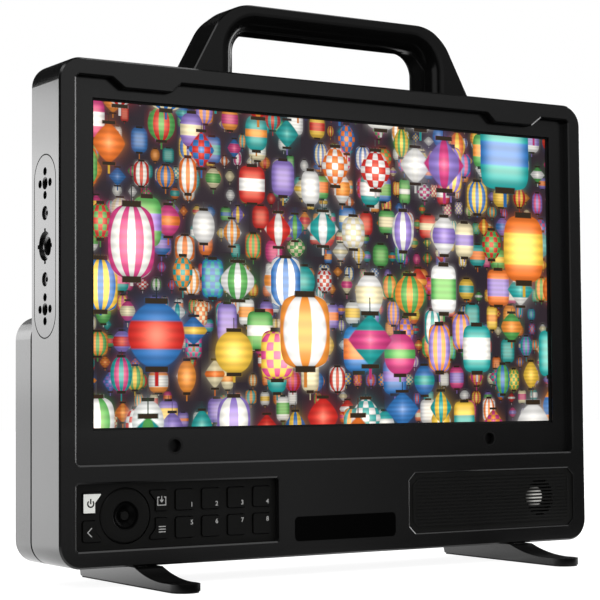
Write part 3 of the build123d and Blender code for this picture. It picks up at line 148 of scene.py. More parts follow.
def coordinates(tree, where):
    """The X, Y and Z of a vector, as numbers."""
    split = tree.nodes.new("ShaderNodeSeparateXYZ")
    tree.links.new(where, split.inputs[0])
    return [Value(tree, socket) for socket in split.outputs]


def blend(tree, amount, first, second):
    """Goes from the first colour to the second as amount goes from 0 to 1."""
    node = tree.nodes.new("ShaderNodeMix")
    node.data_type = "RGBA"
    feed(tree, node.inputs["Factor"], amount)
    colours = [socket for socket in node.inputs if socket.type == "RGBA"]
    feed(tree, colours[0], first)
    feed(tree, colours[1], second)
    return next(socket for socket in node.outputs if socket.type == "RGBA")


def tint(tree, colour, strength):
    """A colour made brighter or darker by a Value."""
    node = tree.nodes.new("ShaderNodeVectorMath")
    node.operation = "SCALE"
    feed(tree, node.inputs[0], colour)
    feed(tree, node.inputs["Scale"], strength)
    return node.outputs[0]


def added(tree, first, second):
    """The sum of two colours."""
    node = tree.nodes.new("ShaderNodeVectorMath")
    node.operation = "ADD"
    feed(tree, node.inputs[0], first)
    feed(tree, node.inputs[1], second)
    return node.outputs[0]


def noise(tree, where, scale, detail=2.0):
    node = tree.nodes.new("ShaderNodeTexNoise")
    node.inputs["Scale"].default_value = scale
    node.inputs["Detail"].default_value = detail
    tree.links.new(where, node.inputs["Vector"])
    return Value(tree, node.outputs[0])


def new_material(name):
    """A material, its node tree, its surface, and a point's place on the object."""
    material = bpy.data.materials.new(name)
    material.use_nodes = True
    tree = material.node_tree
    surface = tree.nodes["Principled BSDF"]
    where = tree.nodes.new("ShaderNodeTexCoord").outputs["Object"]
    return material, tree, surface, where


def bump(tree, surface, height, strength, distance):
    node = tree.nodes.new("ShaderNodeBump")
    node.inputs["Strength"].default_value = strength
    node.inputs["Distance"].default_value = distance
    feed(tree, node.inputs["Height"], height)
    tree.links.new(node.outputs[0], surface.inputs["Normal"])


# Finishes


def shades(colour, darker, brighter):
    """A darker and a brighter shade of a colour, by two shares."""
    low = [channel * darker for channel in colour] + [1.0]
    high = [min(channel * brighter, 1.0) for channel in colour] + [1.0]
    return low, high


def finish(name, colour, rough, metal=0.0, ior=1.5, mottle=0.15, mottle_scale=60.0,
           grain=0.25, grain_scale=2600.0, grain_depth=0.03, rough_change=0.06, glow=None):
    """A surface with a slow change of tone and gloss, and a fine grain in relief."""
    material, tree, surface, where = new_material(name)
    slow = noise(tree, where, mottle_scale, 4.0)
    fine = noise(tree, where, grain_scale, 2.0)
    low, high = shades(colour, 1 - mottle, 1 + mottle)
    tone = blend(tree, slow * 0.7 + fine * 0.3, low, high)
    tree.links.new(tone, surface.inputs["Base Color"])
    feed(tree, surface.inputs["Roughness"], slow * rough_change + fine * rough_change
         + (rough - rough_change))
    surface.inputs["Metallic"].default_value = metal
    surface.inputs["IOR"].default_value = ior
    bump(tree, surface, fine, grain, grain_depth * MM)
    if glow:
        tree.links.new(tone, surface.inputs["Emission Color"])
        surface.inputs["Emission Strength"].default_value = glow
    return material


def streaked(name, colour, rough, stretch):
    """Bare metal with fine marks drawn out one way, as brushing or turning leaves them."""
    streak_scale, streak_depth, rough_change = 900.0, 0.02 * MM, 0.07
    material, tree, surface, where = new_material(name)
    mapping = tree.nodes.new("ShaderNodeMapping")
    mapping.inputs["Scale"].default_value = stretch
    tree.links.new(where, mapping.inputs["Vector"])
    lines = noise(tree, mapping.outputs[0], streak_scale, 3.0)
    low, high = shades(colour, 0.86, 1.1)
    tree.links.new(blend(tree, lines, low, high), surface.inputs["Base Color"])
    feed(tree, surface.inputs["Roughness"], lines * (2 * rough_change) + (rough - rough_change))
    surface.inputs["Metallic"].default_value = 1.0
    surface.inputs["IOR"].default_value = 1.5
    bump(tree, surface, lines, 0.2, streak_depth)
    return material


def board_finish():
    """Green solder mask with copper tracks under it, as a fine brick pattern."""
    material, tree, surface, where = new_material("solder_mask")
    tracks = tree.nodes.new("ShaderNodeTexBrick")
    tracks.inputs["Scale"].default_value = 260.0
    tracks.inputs["Mortar Size"].default_value = 0.06
    tracks.inputs["Color1"].default_value = (0.012, 0.10, 0.045, 1)
    tracks.inputs["Color2"].default_value = (0.016, 0.125, 0.055, 1)
    tracks.inputs["Mortar"].default_value = (0.03, 0.22, 0.09, 1)
    turn = tree.nodes.new("ShaderNodeMapping")
    turn.inputs["Rotation"].default_value = (math.radians(90), 0, 0)
    tree.links.new(where, turn.inputs["Vector"])
    tree.links.new(turn.outputs[0], tracks.inputs["Vector"])
    tree.links.new(tracks.outputs["Color"], surface.inputs["Base Color"])
    feed(tree, surface.inputs["Roughness"], noise(tree, where, 300.0) * 0.2 + 0.25)
    bump(tree, surface, Value(tree, tracks.outputs["Fac"]), 0.3, 0.02 * MM)
    return material


BODY_BLACK = (0.006, 0.006, 0.0061)
PANEL_BLACK = (0.0075, 0.0075, 0.0068)
DEEP_BLACK = (0.0006, 0.0006, 0.0006)
# The colour of the rocker's dish: painted shade in its hollow.
DISH_PAINTED_SHADE = (0.0008, 0.0008, 0.0008)

# What all machined and anodised parts share; only their tone, gloss and index differ.
ANODISED = dict(mottle=0.10, grain=0.15, grain_scale=2400.0, grain_depth=0.01, rough_change=0.03)

FINISHES = {
    "black_anodised": finish("black_anodised", BODY_BLACK, 0.22, ior=1.75, **ANODISED),
    "housing_black": finish("housing_black", BODY_BLACK, 0.22, ior=1.66, **ANODISED),
    "handle_black": finish("handle_black", (0.0034, 0.0034, 0.0034), 0.16, ior=1.45, **ANODISED),
    "foot_black": finish("foot_black", (0.0015, 0.0015, 0.0015), 0.20, ior=1.75, **ANODISED),
    "keypad_black": finish("keypad_black", PANEL_BLACK, 0.45, ior=1.45, grain_scale=1800.0),
    "grille_black": finish("grille_black", PANEL_BLACK, 0.38),
    "key_black": finish("key_black", (0.0062, 0.0062, 0.0057), 0.40, ior=1.45),
    "gloss_black": finish("gloss_black", DEEP_BLACK, 0.09, ior=1.2, grain=0.03),
    "black_moulding": finish("black_moulding", (0.010, 0.010, 0.010), 0.55, grain_scale=1500.0),
    "black_rubber": finish("black_rubber", (0.008, 0.008, 0.008), 0.8, grain_scale=900.0,
                           grain=0.5, grain_depth=0.05),
    "light_guide": finish("light_guide", (0.80, 0.82, 0.84), 0.2, mottle=0.03),
    "plain_aluminium": streaked("plain_aluminium", (0.60, 0.61, 0.62), 0.35, (1, 1, 14)),
    "bare_steel": streaked("bare_steel", (0.55, 0.55, 0.56), 0.3, (6, 1, 1)),
    "blackened_steel": finish("blackened_steel", (0.018, 0.018, 0.019), 0.34, ior=1.9,
                              grain_scale=3000.0),
    "nickel": streaked("nickel", (0.68, 0.66, 0.61), 0.22, (1, 5, 1)),
    "magnet_iron": finish("magnet_iron", (0.12, 0.12, 0.13), 0.5, metal=0.7),
    "circuit_board": board_finish(),
    "white_nylon": finish("white_nylon", (0.78, 0.78, 0.76), 0.45, mottle=0.03),
    "gold_contact": streaked("gold_contact", (0.85, 0.60, 0.25), 0.25, (1, 8, 1)),
    "key_print": finish("key_print", (0.56, 0.56, 0.55), 0.5, mottle=0.04, glow=0.08),
    # hole_black is near black and dull. In the threaded holes and the gap round the side plates
    # it is painted shade, and it also blacks the gloss-only card behind the handle.
    "hole_black": finish("hole_black", (0.0012, 0.0012, 0.0012), 0.6, ior=1.25),
    "dark_print": finish("dark_print", (0.012, 0.012, 0.012), 0.5, mottle=0.08, ior=1.3),
}


# The picture on the screen: a made-up night scene of paper lanterns, in layers from far to
# near, worked out from a point's place in millimetres.

LANTERN_COLOURS = (
    (0.95, 0.20, 0.02), (0.01, 0.42, 0.40), (1.0, 0.62, 0.06), (0.75, 0.02, 0.015),
    (0.90, 0.88, 0.82), (0.75, 0.05, 0.25), (1.0, 0.33, 0.04), (0.30, 0.20, 0.62),
    (0.10, 0.45, 0.10), (0.92, 0.80, 0.50), (0.03, 0.20, 0.55), (0.95, 0.93, 0.90),
)
NIGHT_SKY = (0.006, 0.006, 0.012, 1)
NIGHT_HAZE = (0.045, 0.028, 0.035, 1)
GLASS_BLACK = (0.004, 0.004, 0.005, 1)
WARM_LIGHT = (1.0, 0.85, 0.55)
STRING_BLACK = (0.02, 0.02, 0.02, 1)

# Each layer's cell width and height, the share of its cells with a lantern, a seed, and how
# bright it is.
LANTERN_LAYERS = (
    (8.3, 9.7, 0.60, 3.0, 0.40),
    (13.7, 17.3, 0.72, 7.0, 0.60),
    (19.0, 26.0, 0.66, 9.0, 0.8),
    (27.0, 34.0, 0.60, 21.0, 1.0),
    (43.0, 52.0, 0.42, 5.0, 1.05),
)

# Added to X and Z, so that no cell of any layer has a number below zero.
GRID_SHIFT_ACROSS = 400.0
GRID_SHIFT_UP = 100.0


def palette(tree, place):
    """One of the lantern colours, chosen by a number from 0 to 1."""
    ramp = tree.nodes.new("ShaderNodeValToRGB")
    stops = ramp.color_ramp
    stops.interpolation = "CONSTANT"
    stops.elements[0].color = (*LANTERN_COLOURS[0], 1)
    stops.elements[1].position = 1 / len(LANTERN_COLOURS)
    stops.elements[1].color = (*LANTERN_COLOURS[1], 1)
    for index in range(2, len(LANTERN_COLOURS)):
        stop = stops.elements.new(index / len(LANTERN_COLOURS))
        stop.color = (*LANTERN_COLOURS[index], 1)
    feed(tree, ramp.inputs[0], place)
    return ramp.outputs[0]


def chances(tree, column, row, seed):
    """Three random numbers from 0 to 1 for one cell of a grid."""
    cell = tree.nodes.new("ShaderNodeCombineXYZ")
    feed(tree, cell.inputs[0], column)
    feed(tree, cell.inputs[1], row)
    cell.inputs[2].default_value = seed
    random = tree.nodes.new("ShaderNodeTexWhiteNoise")
    tree.links.new(cell.outputs[0], random.inputs["Vector"])
    split = tree.nodes.new("ShaderNodeSeparateColor")
    tree.links.new(random.outputs["Color"], split.inputs[0])
    return [Value(tree, socket) for socket in split.outputs]


def bar(across, up, half_width, middle, half_height, side_softness, end_softness):
    """1 on a small upright bar on a lantern's middle line."""
    sides = across.size().under(half_width, side_softness)
    return sides * (up - middle).size().under(half_height, end_softness)


def lantern_pattern(round_x, round_y, count, look):
    """Stripes, checks or a band round the middle; look is a random number that chooses."""
    swell = (round_y * round_y * -1.0 + 1.08).at_least(0.05).root()
    turned = round_x / swell
    stripes = ((turned * (count * 5.0 + 5.0)).wave() * 3.0 + 0.5).clamped()
    band = round_y.size().under(count * 0.3 + 0.2, 0.06)
    checks = ((turned * 7.0).wave() * (round_y * 9.0).wave() * 6.0 + 0.3).clamped()
    pattern = stripes * look.under(0.34) + band * look.over(0.62)
    return pattern + checks * (look.under(0.62) - look.under(0.46))


def lantern_layer(tree, across, up, width, height, share, seed, light):
    """One layer of lanterns on a loose grid: their colour, where they are, and their halo."""
    row = (up / height).floor()
    slide = chances(tree, row, row, seed + 40.0)[0]
    column_place = across / width + slide
    column = column_place.floor()
    there, jitter_x, jitter_y = chances(tree, column, row, seed)
    size, squareness, look = chances(tree, column, row, seed + 10.0)
    hue, second_hue, count = chances(tree, column, row, seed + 20.0)

    half_width = (size * 0.15 + 0.27) * width
    half_height = (squareness * 0.13 + 0.27) * height
    x = (column_place - column - 0.5) * width + (jitter_x - 0.5) * (0.16 * width)
    y = (up / height - row - 0.5) * height + (jitter_y - 0.5) * (0.2 * height)
    round_x = x / half_width
    round_y = y / half_height
    corner = squareness * squareness * 4.0 + 1.1
    reach = round_x.size() ** corner + round_y.size() ** corner
    present = there.under(share)
    inside = reach.under(1.0, 0.10) * present

    pattern = lantern_pattern(round_x, round_y, count, look)
    paper = blend(tree, pattern, palette(tree, hue), palette(tree, second_hue))
    ribs = (round_y * (count * 12.0 + 14.0)).wave() * 0.12 + 0.9
    glow = (reach * -1.3).exponent() * 1.1 + 0.35
    paper = tint(tree, paper, glow * ribs * light)
    warm = tint(tree, WARM_LIGHT, (reach * -5.0).exponent() * (0.35 * light))
    paper = added(tree, paper, warm)

    cap = bar(round_x, round_y.size(), half_width=0.42, middle=1.03, half_height=0.09,
              side_softness=0.06, end_softness=0.03)
    tassel = bar(round_x, round_y, half_width=0.07, middle=-1.3, half_height=0.24,
                 side_softness=0.04, end_softness=0.02)
    string = bar(round_x, round_y, half_width=0.025, middle=1.35, half_height=0.3,
                 side_softness=0.02, end_softness=0.02)
    paper = blend(tree, tassel, paper, tint(tree, palette(tree, second_hue), light * 0.6))
    paper = blend(tree, cap, paper, (0.03 * light, 0.018 * light, 0.008 * light, 1))
    paper = blend(tree, string, paper, STRING_BLACK)
    cover = (inside + cap * present + tassel * present + string * present).at_most(1.0)
    halo = ((reach - 1.0).at_least(0.0) * -2.2).exponent() * present * (0.16 * light)
    return paper, cover, tint(tree, palette(tree, hue), halo)


def picture_finish():
    """The lit picture, and the sheen of its glass."""
    material, tree, surface, where = new_material("screen_picture")
    x, _, z = coordinates(tree, where)
    across = x * TO_MM + GRID_SHIFT_ACROSS
    up = z * TO_MM + GRID_SHIFT_UP
    colour = blend(tree, noise(tree, where, 18.0, 4.0), NIGHT_SKY, NIGHT_HAZE)
    for width, height, share, seed, light in LANTERN_LAYERS:
        paper, cover, halo = lantern_layer(
            tree, across + seed * 3.1, up + seed * 1.7, width, height, share, seed, light)
        colour = blend(tree, cover, added(tree, colour, halo), paper)
    surface.inputs["Base Color"].default_value = GLASS_BLACK
    surface.inputs["Roughness"].default_value = 0.22
    tree.links.new(colour, surface.inputs["Emission Color"])
    surface.inputs["Emission Strength"].default_value = 1.0
    return material


FINISHES["screen_glass"] = picture_finish()


# Parts in two tones. On the rocker, the protector sockets and the power key's sides the dark tone
# is painted shade, and on the speaker dome the bright tone is a painted sheen and glow.


def two_tone(name, chosen, colour, rest, rough, glow=0.0, ior=1.5):
    """A bright colour where a rule of x, y and height says so, and a dark one elsewhere."""
    material, tree, surface, where = new_material(name)
    x, y, z = [side * TO_MM for side in coordinates(tree, where)]
    amount = chosen(x, y, z - body_bottom())
    slow = noise(tree, where, 300.0, 3.0)
    bright = tint(tree, colour, slow * 0.1 + 0.93)
    tone = blend(tree, amount, tint(tree, rest, slow * 0.4 + 0.8), bright)
    tree.links.new(tone, surface.inputs["Base Color"])
    feed(tree, surface.inputs["Roughness"], slow * 0.06 + (rough - 0.03))
    tree.links.new(tone, surface.inputs["Emission Color"])
    feed(tree, surface.inputs["Emission Strength"], amount * glow)
    surface.inputs["IOR"].default_value = ior
    return material


def body_bottom():
    """The height of the body's underside, from which heights on its front are measured."""
    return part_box("front_frame")[0].z / MM


def from_middle(node, x, height):
    """How far a point lies to the right of a part's middle, and above it."""
    low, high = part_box(node)
    up = height - (low.z + high.z) / 2 / MM + body_bottom()
    return x - (low.x + high.x) / 2 / MM, up


# The power key's lit face: its edges, and how far its right edge leans for each mm of height.
FACE_LEFT, FACE_RIGHT = -154.05, -147.35
FACE_LOW, FACE_HIGH = 27.4, 36.8
FACE_LEAN = 0.34

DOME_RADIUS = 6.1
DISH_EDGE_SQUARED = 50.0
DISH_EDGE_SOFTNESS = 0.14
NUB_RADIUS = 2.2
SOCKET_FLOOR = 2.6


def on_power_face(x, y, height):
    """The lit part of the power key: its front face inside a dark border. The rest of the key is
    painted dark, and on its sides that dark is painted shade.
    """
    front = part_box("power_key")[0].y / MM + 0.05
    slant = x - (height - FACE_LOW) * FACE_LEAN
    face = y.under(front) * x.over(FACE_LEFT) * slant.under(FACE_RIGHT)
    return face * height.under(FACE_HIGH) * height.over(FACE_LOW)


def on_dome(x, y, height):
    """The dome in the middle of the speaker's cone, with a painted sheen that is brightest right
    of its middle and fades to its edges.
    """
    across, up = from_middle("speaker_cone", x, height)
    shine = up * up * -0.026 - (across - 1.5) ** 2.0 * 0.016 + 1.15
    return (across * across + up * up).under(DOME_RADIUS ** 2) * shine.clamped()


def on_ring_face(x, y, height):
    """The rocker's flat face, outside its dish; the dish inside it is painted dark as painted
    shade.
    """
    across, up = from_middle("nav_ring", x, height)
    return (across * across + up * up - DISH_EDGE_SQUARED) * DISH_EDGE_SOFTNESS


def on_nub(x, y, height):
    """The nub in the middle of the push button; the bowl round it is painted dark as painted
    shade.
    """
    across, up = from_middle("nav_ring", x, height)
    return (across * across + up * up).under(NUB_RADIUS ** 2)


def in_socket(x, y, height):
    """The floor of a protector socket, painted near black as painted shade."""
    return y.over(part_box("protector_sockets")[0].y / MM + SOCKET_FLOOR)


# The socket floors are painted near black: painted shade deep in the sockets.
FINISHES["socket_painted_floor_shade"] = two_tone(
    "socket_painted_floor_shade", in_socket, DEEP_BLACK, (0.0085, 0.0085, 0.0085), 0.35)
# The power key's sides get the dark colour too, as painted shade round its pale face.
FINISHES["lit_key"] = two_tone(
    "lit_key", on_power_face, (0.80, 0.81, 0.77), (0.02, 0.02, 0.02), 0.45, glow=0.36)
# The rocker's dish and the push button's bowl are painted near black, as painted shade in the
# hollow.
FINISHES["ring_painted_dish_shade"] = two_tone(
    "ring_painted_dish_shade", on_ring_face, (0.0135, 0.0135, 0.013), DISH_PAINTED_SHADE, 0.42, ior=1.22)
FINISHES["button_painted_bowl_shade"] = two_tone(
    "button_painted_bowl_shade", on_nub, (0.014, 0.014, 0.0135), DISH_PAINTED_SHADE, 0.42, ior=1.22)
# The speaker dome's bright tone, its fall-off and its glow are a painted sheen and a painted
# highlight.
FINISHES["speaker_dome"] = two_tone(
    "speaker_dome", on_dome, (0.85, 0.84, 0.80), (0.004, 0.004, 0.004), 0.35, glow=0.5)


# Pieces


def place_piece(name, mesh, body, finish_name):
    """Makes an object of a mesh, gives it a finish and lets it ride on a body."""
    piece = bpy.data.objects.new(name, mesh)
    bpy.context.scene.collection.objects.link(piece)
    mesh.materials.clear()
    mesh.materials.append(FINISHES[finish_name])
    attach(piece, body)


def offset_line(points, reach, closed):
    """The points of a line, each moved sideways by reach, with mitred corners."""
    count = len(points)
    moved = []
    for index, point in enumerate(points):
        before = points[index - 1] if index or closed else point
        after = points[(index + 1) % count] if index < count - 1 or closed else point
        ways = [(b - a).normalized() for a, b in ((before, point), (point, after)) if a != b]
        way = sum(ways, Vector((0, 0))).normalized()
        side = Vector((-way.y, way.x))
        flat = Vector((-ways[0].y, ways[0].x))
        moved.append(point + side * (reach / max(side.dot(flat), 0.3)))
    return moved


def stroke(mesh, points, width, front, back, closed=False):
    """Adds a flat line of one width, in X and Z, solid between two values of Y."""
    points = [Vector(point) for point in points]
    left = offset_line(points, width / 2, closed)
    right = offset_line(points, -width / 2, closed)
    rings = []
    for one, other in zip(left, right):
        rings.append([mesh.verts.new((p.x * MM, y * MM, p.y * MM))
                      for p, y in ((one, front), (other, front), (other, back), (one, back))])
    count = len(rings)
    for index in range(count if closed else count - 1):
        here, there = rings[index], rings[(index + 1) % count]
        for k in range(4):
            mesh.faces.new((here[k], here[(k + 1) % 4], there[(k + 1) % 4], there[k]))
    if not closed:
        mesh.faces.new(rings[0])
        mesh.faces.new(reversed(rings[-1]))


def outline_plate(mesh, points, front, back):
    """Adds a flat plate with an outline in X and Z."""
    rings = [[mesh.verts.new((x * MM, y * MM, z * MM)) for x, z in points] for y in (front, back)]
    mesh.faces.new(rings[0])
    mesh.faces.new(reversed(rings[1]))
    count = len(points)
    for index in range(count):
        after = (index + 1) % count
        mesh.faces.new((rings[0][index], rings[0][after], rings[1][after], rings[1][index]))


def mesh_data(name, mesh):
    """Turns an edited mesh into a mesh that an object can have."""
    data = bpy.data.meshes.new(name)
    mesh.to_mesh(data)
    mesh.free()
    return data


def finished_mesh(name, mesh):
    """The same, with all faces pointing outwards."""
    bmesh.ops.recalc_face_normals(mesh, faces=mesh.faces)
    return mesh_data(name, mesh)


def arc(x, z, radius, start, end, steps):
    """Points on an arc; angles in degrees from +X."""
    angles = [math.radians(start + (end - start) * step / steps) for step in range(steps + 1)]
    return [(x + radius * math.cos(a), z + radius * math.sin(a)) for a in angles]


# Marks and numerals on the keys. Lines are given by x and the height above the body's
# underside.

PRINT_PROUD = 0.03
PRINT_SUNK = 0.04
LINE_WIDTH = 0.48
POWER_LINE_WIDTH = 0.75
KEY_LINES = {
    "power_key": [arc(-150.1, 32.0, 1.65, 130, 410, 22), [(-150.1, 31.9), (-150.1, 34.5)]],
    "back_key": [[(-149.5, 20.0), (-151.75, 17.75), (-149.5, 15.5)]],
    "input_key": [[(-111.6, 34.0), (-112.6, 34.0), (-112.6, 29.95), (-108.0, 29.95),
                   (-108.0, 34.0), (-109.0, 34.0)],
                  [(-110.3, 34.6), (-110.3, 32.6)]],
    "menu_key": [[(-112.05, z), (-108.1, z)] for z in (19.1, 17.75, 16.4)],
}
ARROW_HEAD = [(-111.55, 32.7), (-109.05, 32.7), (-110.3, 31.2)]

NUMERAL_SIZE = 3.3
NUMERAL_BOLDNESS = 0.05

# How far a numeral stands above its key's middle, by row, and to the right of it, by column.
UPPER_ROW = (1, 2, 3, 4)
UPPER_RISE, LOWER_RISE = -2.8, 2.25
FIRST_COLUMN = (1, 5)
FIRST_ASIDE, OTHER_ASIDE = 4.0, 3.35


def printed_depths(node):
    """The front and back of what is printed on a key: just proud of its face."""
    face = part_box(node)[0].y / MM
    return face - PRINT_PROUD, face + PRINT_SUNK


def key_marks():
    """The marks of the four keys round the rocker."""
    for node, lines in KEY_LINES.items():
        mesh = bmesh.new()
        front, back = printed_depths(node)
        lit = node == "power_key"
        for points in lines:
            stroke(mesh, raised(points), POWER_LINE_WIDTH if lit else LINE_WIDTH, front, back)
        if node == "input_key":
            outline_plate(mesh, raised(ARROW_HEAD), front, back)
        data = finished_mesh(f"{node}_mark", mesh)
        place_piece(f"{node}_mark", data, node, "dark_print" if lit else "key_print")


def raised(points):
    """Points above the body's underside, as points above the ground."""
    return [(x, z + body_bottom()) for x, z in points]


def numeral(number, x, z, front, back):
    """A plain numeral, made solid and stood up to face the viewer."""
    text = bpy.data.curves.new(f"numeral_{number}", "FONT")
    text.body = str(number)
    text.size = NUMERAL_SIZE * MM
    text.align_x = "CENTER"
    text.align_y = "CENTER"
    text.extrude = (back - front) / 2 * MM
    text.offset = NUMERAL_BOLDNESS * MM
    carrier = bpy.data.objects.new(text.name, text)
    data = evaluated_mesh(carrier)
    stand = Matrix.Translation((x * MM, (front + back) / 2 * MM, z * MM))
    data.transform(stand @ Matrix.Rotation(math.radians(90), 4, "X"))
    return data


def evaluated_mesh(carrier):
    """The plain mesh that a new object comes to, which is then removed."""
    bpy.context.scene.collection.objects.link(carrier)
    shape = carrier.evaluated_get(bpy.context.evaluated_depsgraph_get())
    data = bpy.data.meshes.new_from_object(shape)
    bpy.data.objects.remove(carrier)
    return data


def key_numerals():
    """1 to 4 stand low on their keys and 5 to 8 stand high, all near the right edge."""
    for number in range(1, 9):
        node = f"key_{number}"
        low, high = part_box(node)
        front, back = printed_depths(node)
        middle_x = (low.x + high.x) / 2 / MM
        middle_z = (low.z + high.z) / 2 / MM
        rise = UPPER_RISE if number in UPPER_ROW else LOWER_RISE
        aside = FIRST_ASIDE if number in FIRST_COLUMN else OTHER_ASIDE
        data = numeral(number, middle_x + aside, middle_z + rise, front, back)
        place_piece(f"{node}_numeral", data, node, "key_print")


key_marks()
key_numerals()


# Pieces that repeat, grown by Geometry Nodes


def new_growth(name, sizes):
    """A Geometry Nodes tree with a named input for each size."""
    tree = bpy.data.node_groups.new(name, "GeometryNodeTree")
    for size_name, socket_type in sizes:
        tree.interface.new_socket(size_name, in_out="INPUT", socket_type=socket_type)
    tree.interface.new_socket("Geometry", in_out="OUTPUT", socket_type="NodeSocketGeometry")
    return tree, tree.nodes.new("NodeGroupInput").outputs


def grow_step(tree, kind, inputs, **settings):
    """Adds one node, with its settings and inputs, and gives back its first output."""
    node = tree.nodes.new(kind)
    for key, value in settings.items():
        setattr(node, key, value)
    for key, value in inputs.items():
        feed(tree, node.inputs[key], value)
    return node.outputs[0]


def drawn_along(tree, curve, sides, radius):
    """A closed rod of a few sides along a curve."""
    profile = grow_step(tree, "GeometryNodeCurvePrimitiveCircle",
                        {"Resolution": sides, "Radius": radius})
    return grow_step(tree, "GeometryNodeCurveToMesh",
                     {"Curve": curve, "Profile Curve": profile, "Fill Caps": True})


def end_growth(tree, shape, finish_name):
    """Ends a tree with real geometry that carries its material."""
    real = grow_step(tree, "GeometryNodeRealizeInstances", {"Geometry": shape})
    coloured = grow_step(tree, "GeometryNodeSetMaterial",
                         {"Geometry": real, "Material": FINISHES[finish_name]})
    tree.links.new(coloured, tree.nodes.new("NodeGroupOutput").inputs[0])


def grown_mesh(name, tree, sizes):
    """Runs a tree once with the given sizes and keeps the plain mesh."""
    carrier = bpy.data.objects.new(name, bpy.data.meshes.new(name))
    modifier = carrier.modifiers.new("growth", "NODES")
    modifier.node_group = tree
    for item in tree.interface.items_tree:
        if item.in_out == "INPUT":
            modifier[item.identifier] = sizes[item.name]
    return evaluated_mesh(carrier)


def thread_growth():
    """A helical ridge about Z, which starts at the origin."""
    tree, given = new_growth("thread_ridge", (
        ("Turns", "NodeSocketFloat"), ("Radius", "NodeSocketFloat"),
        ("Length", "NodeSocketFloat"), ("Ridge", "NodeSocketFloat")))
    helix = grow_step(tree, "GeometryNodeCurveSpiral", {
        "Resolution": 40, "Rotations": given["Turns"], "Start Radius": given["Radius"],
        "End Radius": given["Radius"], "Height": given["Length"]})
    end_growth(tree, drawn_along(tree, helix, 4, given["Ridge"]), "hole_black")
    return tree


def contact_growth():
    """A row of bent spring contacts along X, from the back of a port to its mouth."""
    tree, given = new_growth("contact_row", (
        ("Count", "NodeSocketInt"), ("Pitch", "NodeSocketVector"), ("Wire", "NodeSocketFloat"),
        ("Root", "NodeSocketVector"), ("Bend", "NodeSocketVector"), ("Tip", "NodeSocketVector")))
    bent = grow_step(tree, "GeometryNodeCurveQuadraticBezier", {
        "Resolution": 8, "Start": given["Root"], "Middle": given["Bend"], "End": given["Tip"]})
    wire = drawn_along(tree, bent, 8, given["Wire"])
    row = grow_step(tree, "GeometryNodeMeshLine",
                    {"Count": given["Count"], "Offset": given["Pitch"]}, mode="OFFSET")
    contacts = grow_step(tree, "GeometryNodeInstanceOnPoints",
                         {"Points": row, "Instance": wire})
    end_growth(tree, contacts, "gold_contact")
    return tree


def merged(name, parts):
    """One mesh out of several, each moved by its own matrix."""
    mesh = bmesh.new()
    for data, matrix in parts:
        data.transform(matrix)
        mesh.from_mesh(data)
    return finished_mesh(name, mesh)


SIDE_PLATES = ((1, "side_mount_right"), (-1, "side_mount_left"))

# Each side thread's height above the plate's middle, radius, pitch and length.
SIDE_THREADS = ((0.0, 4.0, 1.5875, 5.2), (31.75, 2.55, 1.27, 7.0), (-31.75, 2.55, 1.27, 7.0))
# How deep under the plate's face the ridges begin, their half width, and how far behind the
# plate's middle the holes lie.
THREAD_DEPTH = 7.8
THREAD_RIDGE = 0.2
HOLE_LINE = -0.1

# The gap round a side plate, the near-black ring in it, which is painted shade in the gap, and
# how deep the ring's two faces lie.
PLATE_GAP = 0.7
SHADE_RING_WIDTH = 0.68
SHADE_RING_FRONT, SHADE_RING_BACK = 0.25, 1.6

NETWORK_CONTACTS = 8
NETWORK_PITCH, NETWORK_WIRE = 1.02, 0.18
# The flat ports' contacts: how many and how high in each row. A port's middle lies this far
# from the outer side of the pair.
FLAT_ROWS = ((10, 1.0), (9, -0.2))
FLAT_PITCH, FLAT_WIRE = 1.0, 0.14
FLAT_PORT_MIDDLE = 7.7


def side_threads():
    """The ridges in the three threaded holes of each side plate, in the near-black hole finish,
    which is painted shade deep in the holes.
    """
    tree = thread_growth()
    low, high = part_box("side_mount_right")
    y = (low.y + high.y) / 2 + HOLE_LINE * MM
    middle = (low.z + high.z) / 2
    inner = high.x - THREAD_DEPTH * MM
    for side, plate in SIDE_PLATES:
        parts = []
        for rise, radius, pitch, length in SIDE_THREADS:
            data = grown_mesh("ridge", tree, {
                "Turns": length / pitch, "Radius": radius * MM, "Length": length * MM,
                "Ridge": THREAD_RIDGE * MM})
            place = Matrix.Translation((side * inner, y, middle + rise * MM))
            parts.append((data, place @ Matrix.Rotation(side * math.radians(90), 4, "Y")))
        data = merged(f"{plate}_threads", parts)
        place_piece(f"{plate}_threads", data, "chassis", "hole_black")


def side_ring(name, outline, width, x_low, x_high, finish_name):
    """A closed ring with its outline in Y and Z, solid between two values of X."""
    mesh = bmesh.new()
    stroke(mesh, outline, width, x_low, x_high, closed=True)
    for vert in mesh.verts:
        vert.co = Vector((vert.co.y, vert.co.x, vert.co.z))
    place_piece(name, finished_mesh(name, mesh), "chassis", finish_name)


def plate_gaskets():
    """A near-black ring in the gap round each side plate: painted shade in the gap."""
    for side, plate in SIDE_PLATES:
        low, high = [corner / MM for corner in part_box(plate)]
        y, half = (low.y + high.y) / 2, (high.y - low.y) / 2
        reach = (high.z - low.z) / 2 - half
        middle = (low.z + high.z) / 2
        outline = arc(y, middle + reach, half + PLATE_GAP / 2, 0, 180, 32)
        outline += arc(y, middle - reach, half + PLATE_GAP / 2, 180, 360, 32)
        outer = max(abs(low.x), abs(high.x))
        side_ring(f"{plate}_gap_shade_ring", outline, SHADE_RING_WIDTH, side * (outer - SHADE_RING_BACK),
                  side * (outer - SHADE_RING_FRONT), "hole_black")


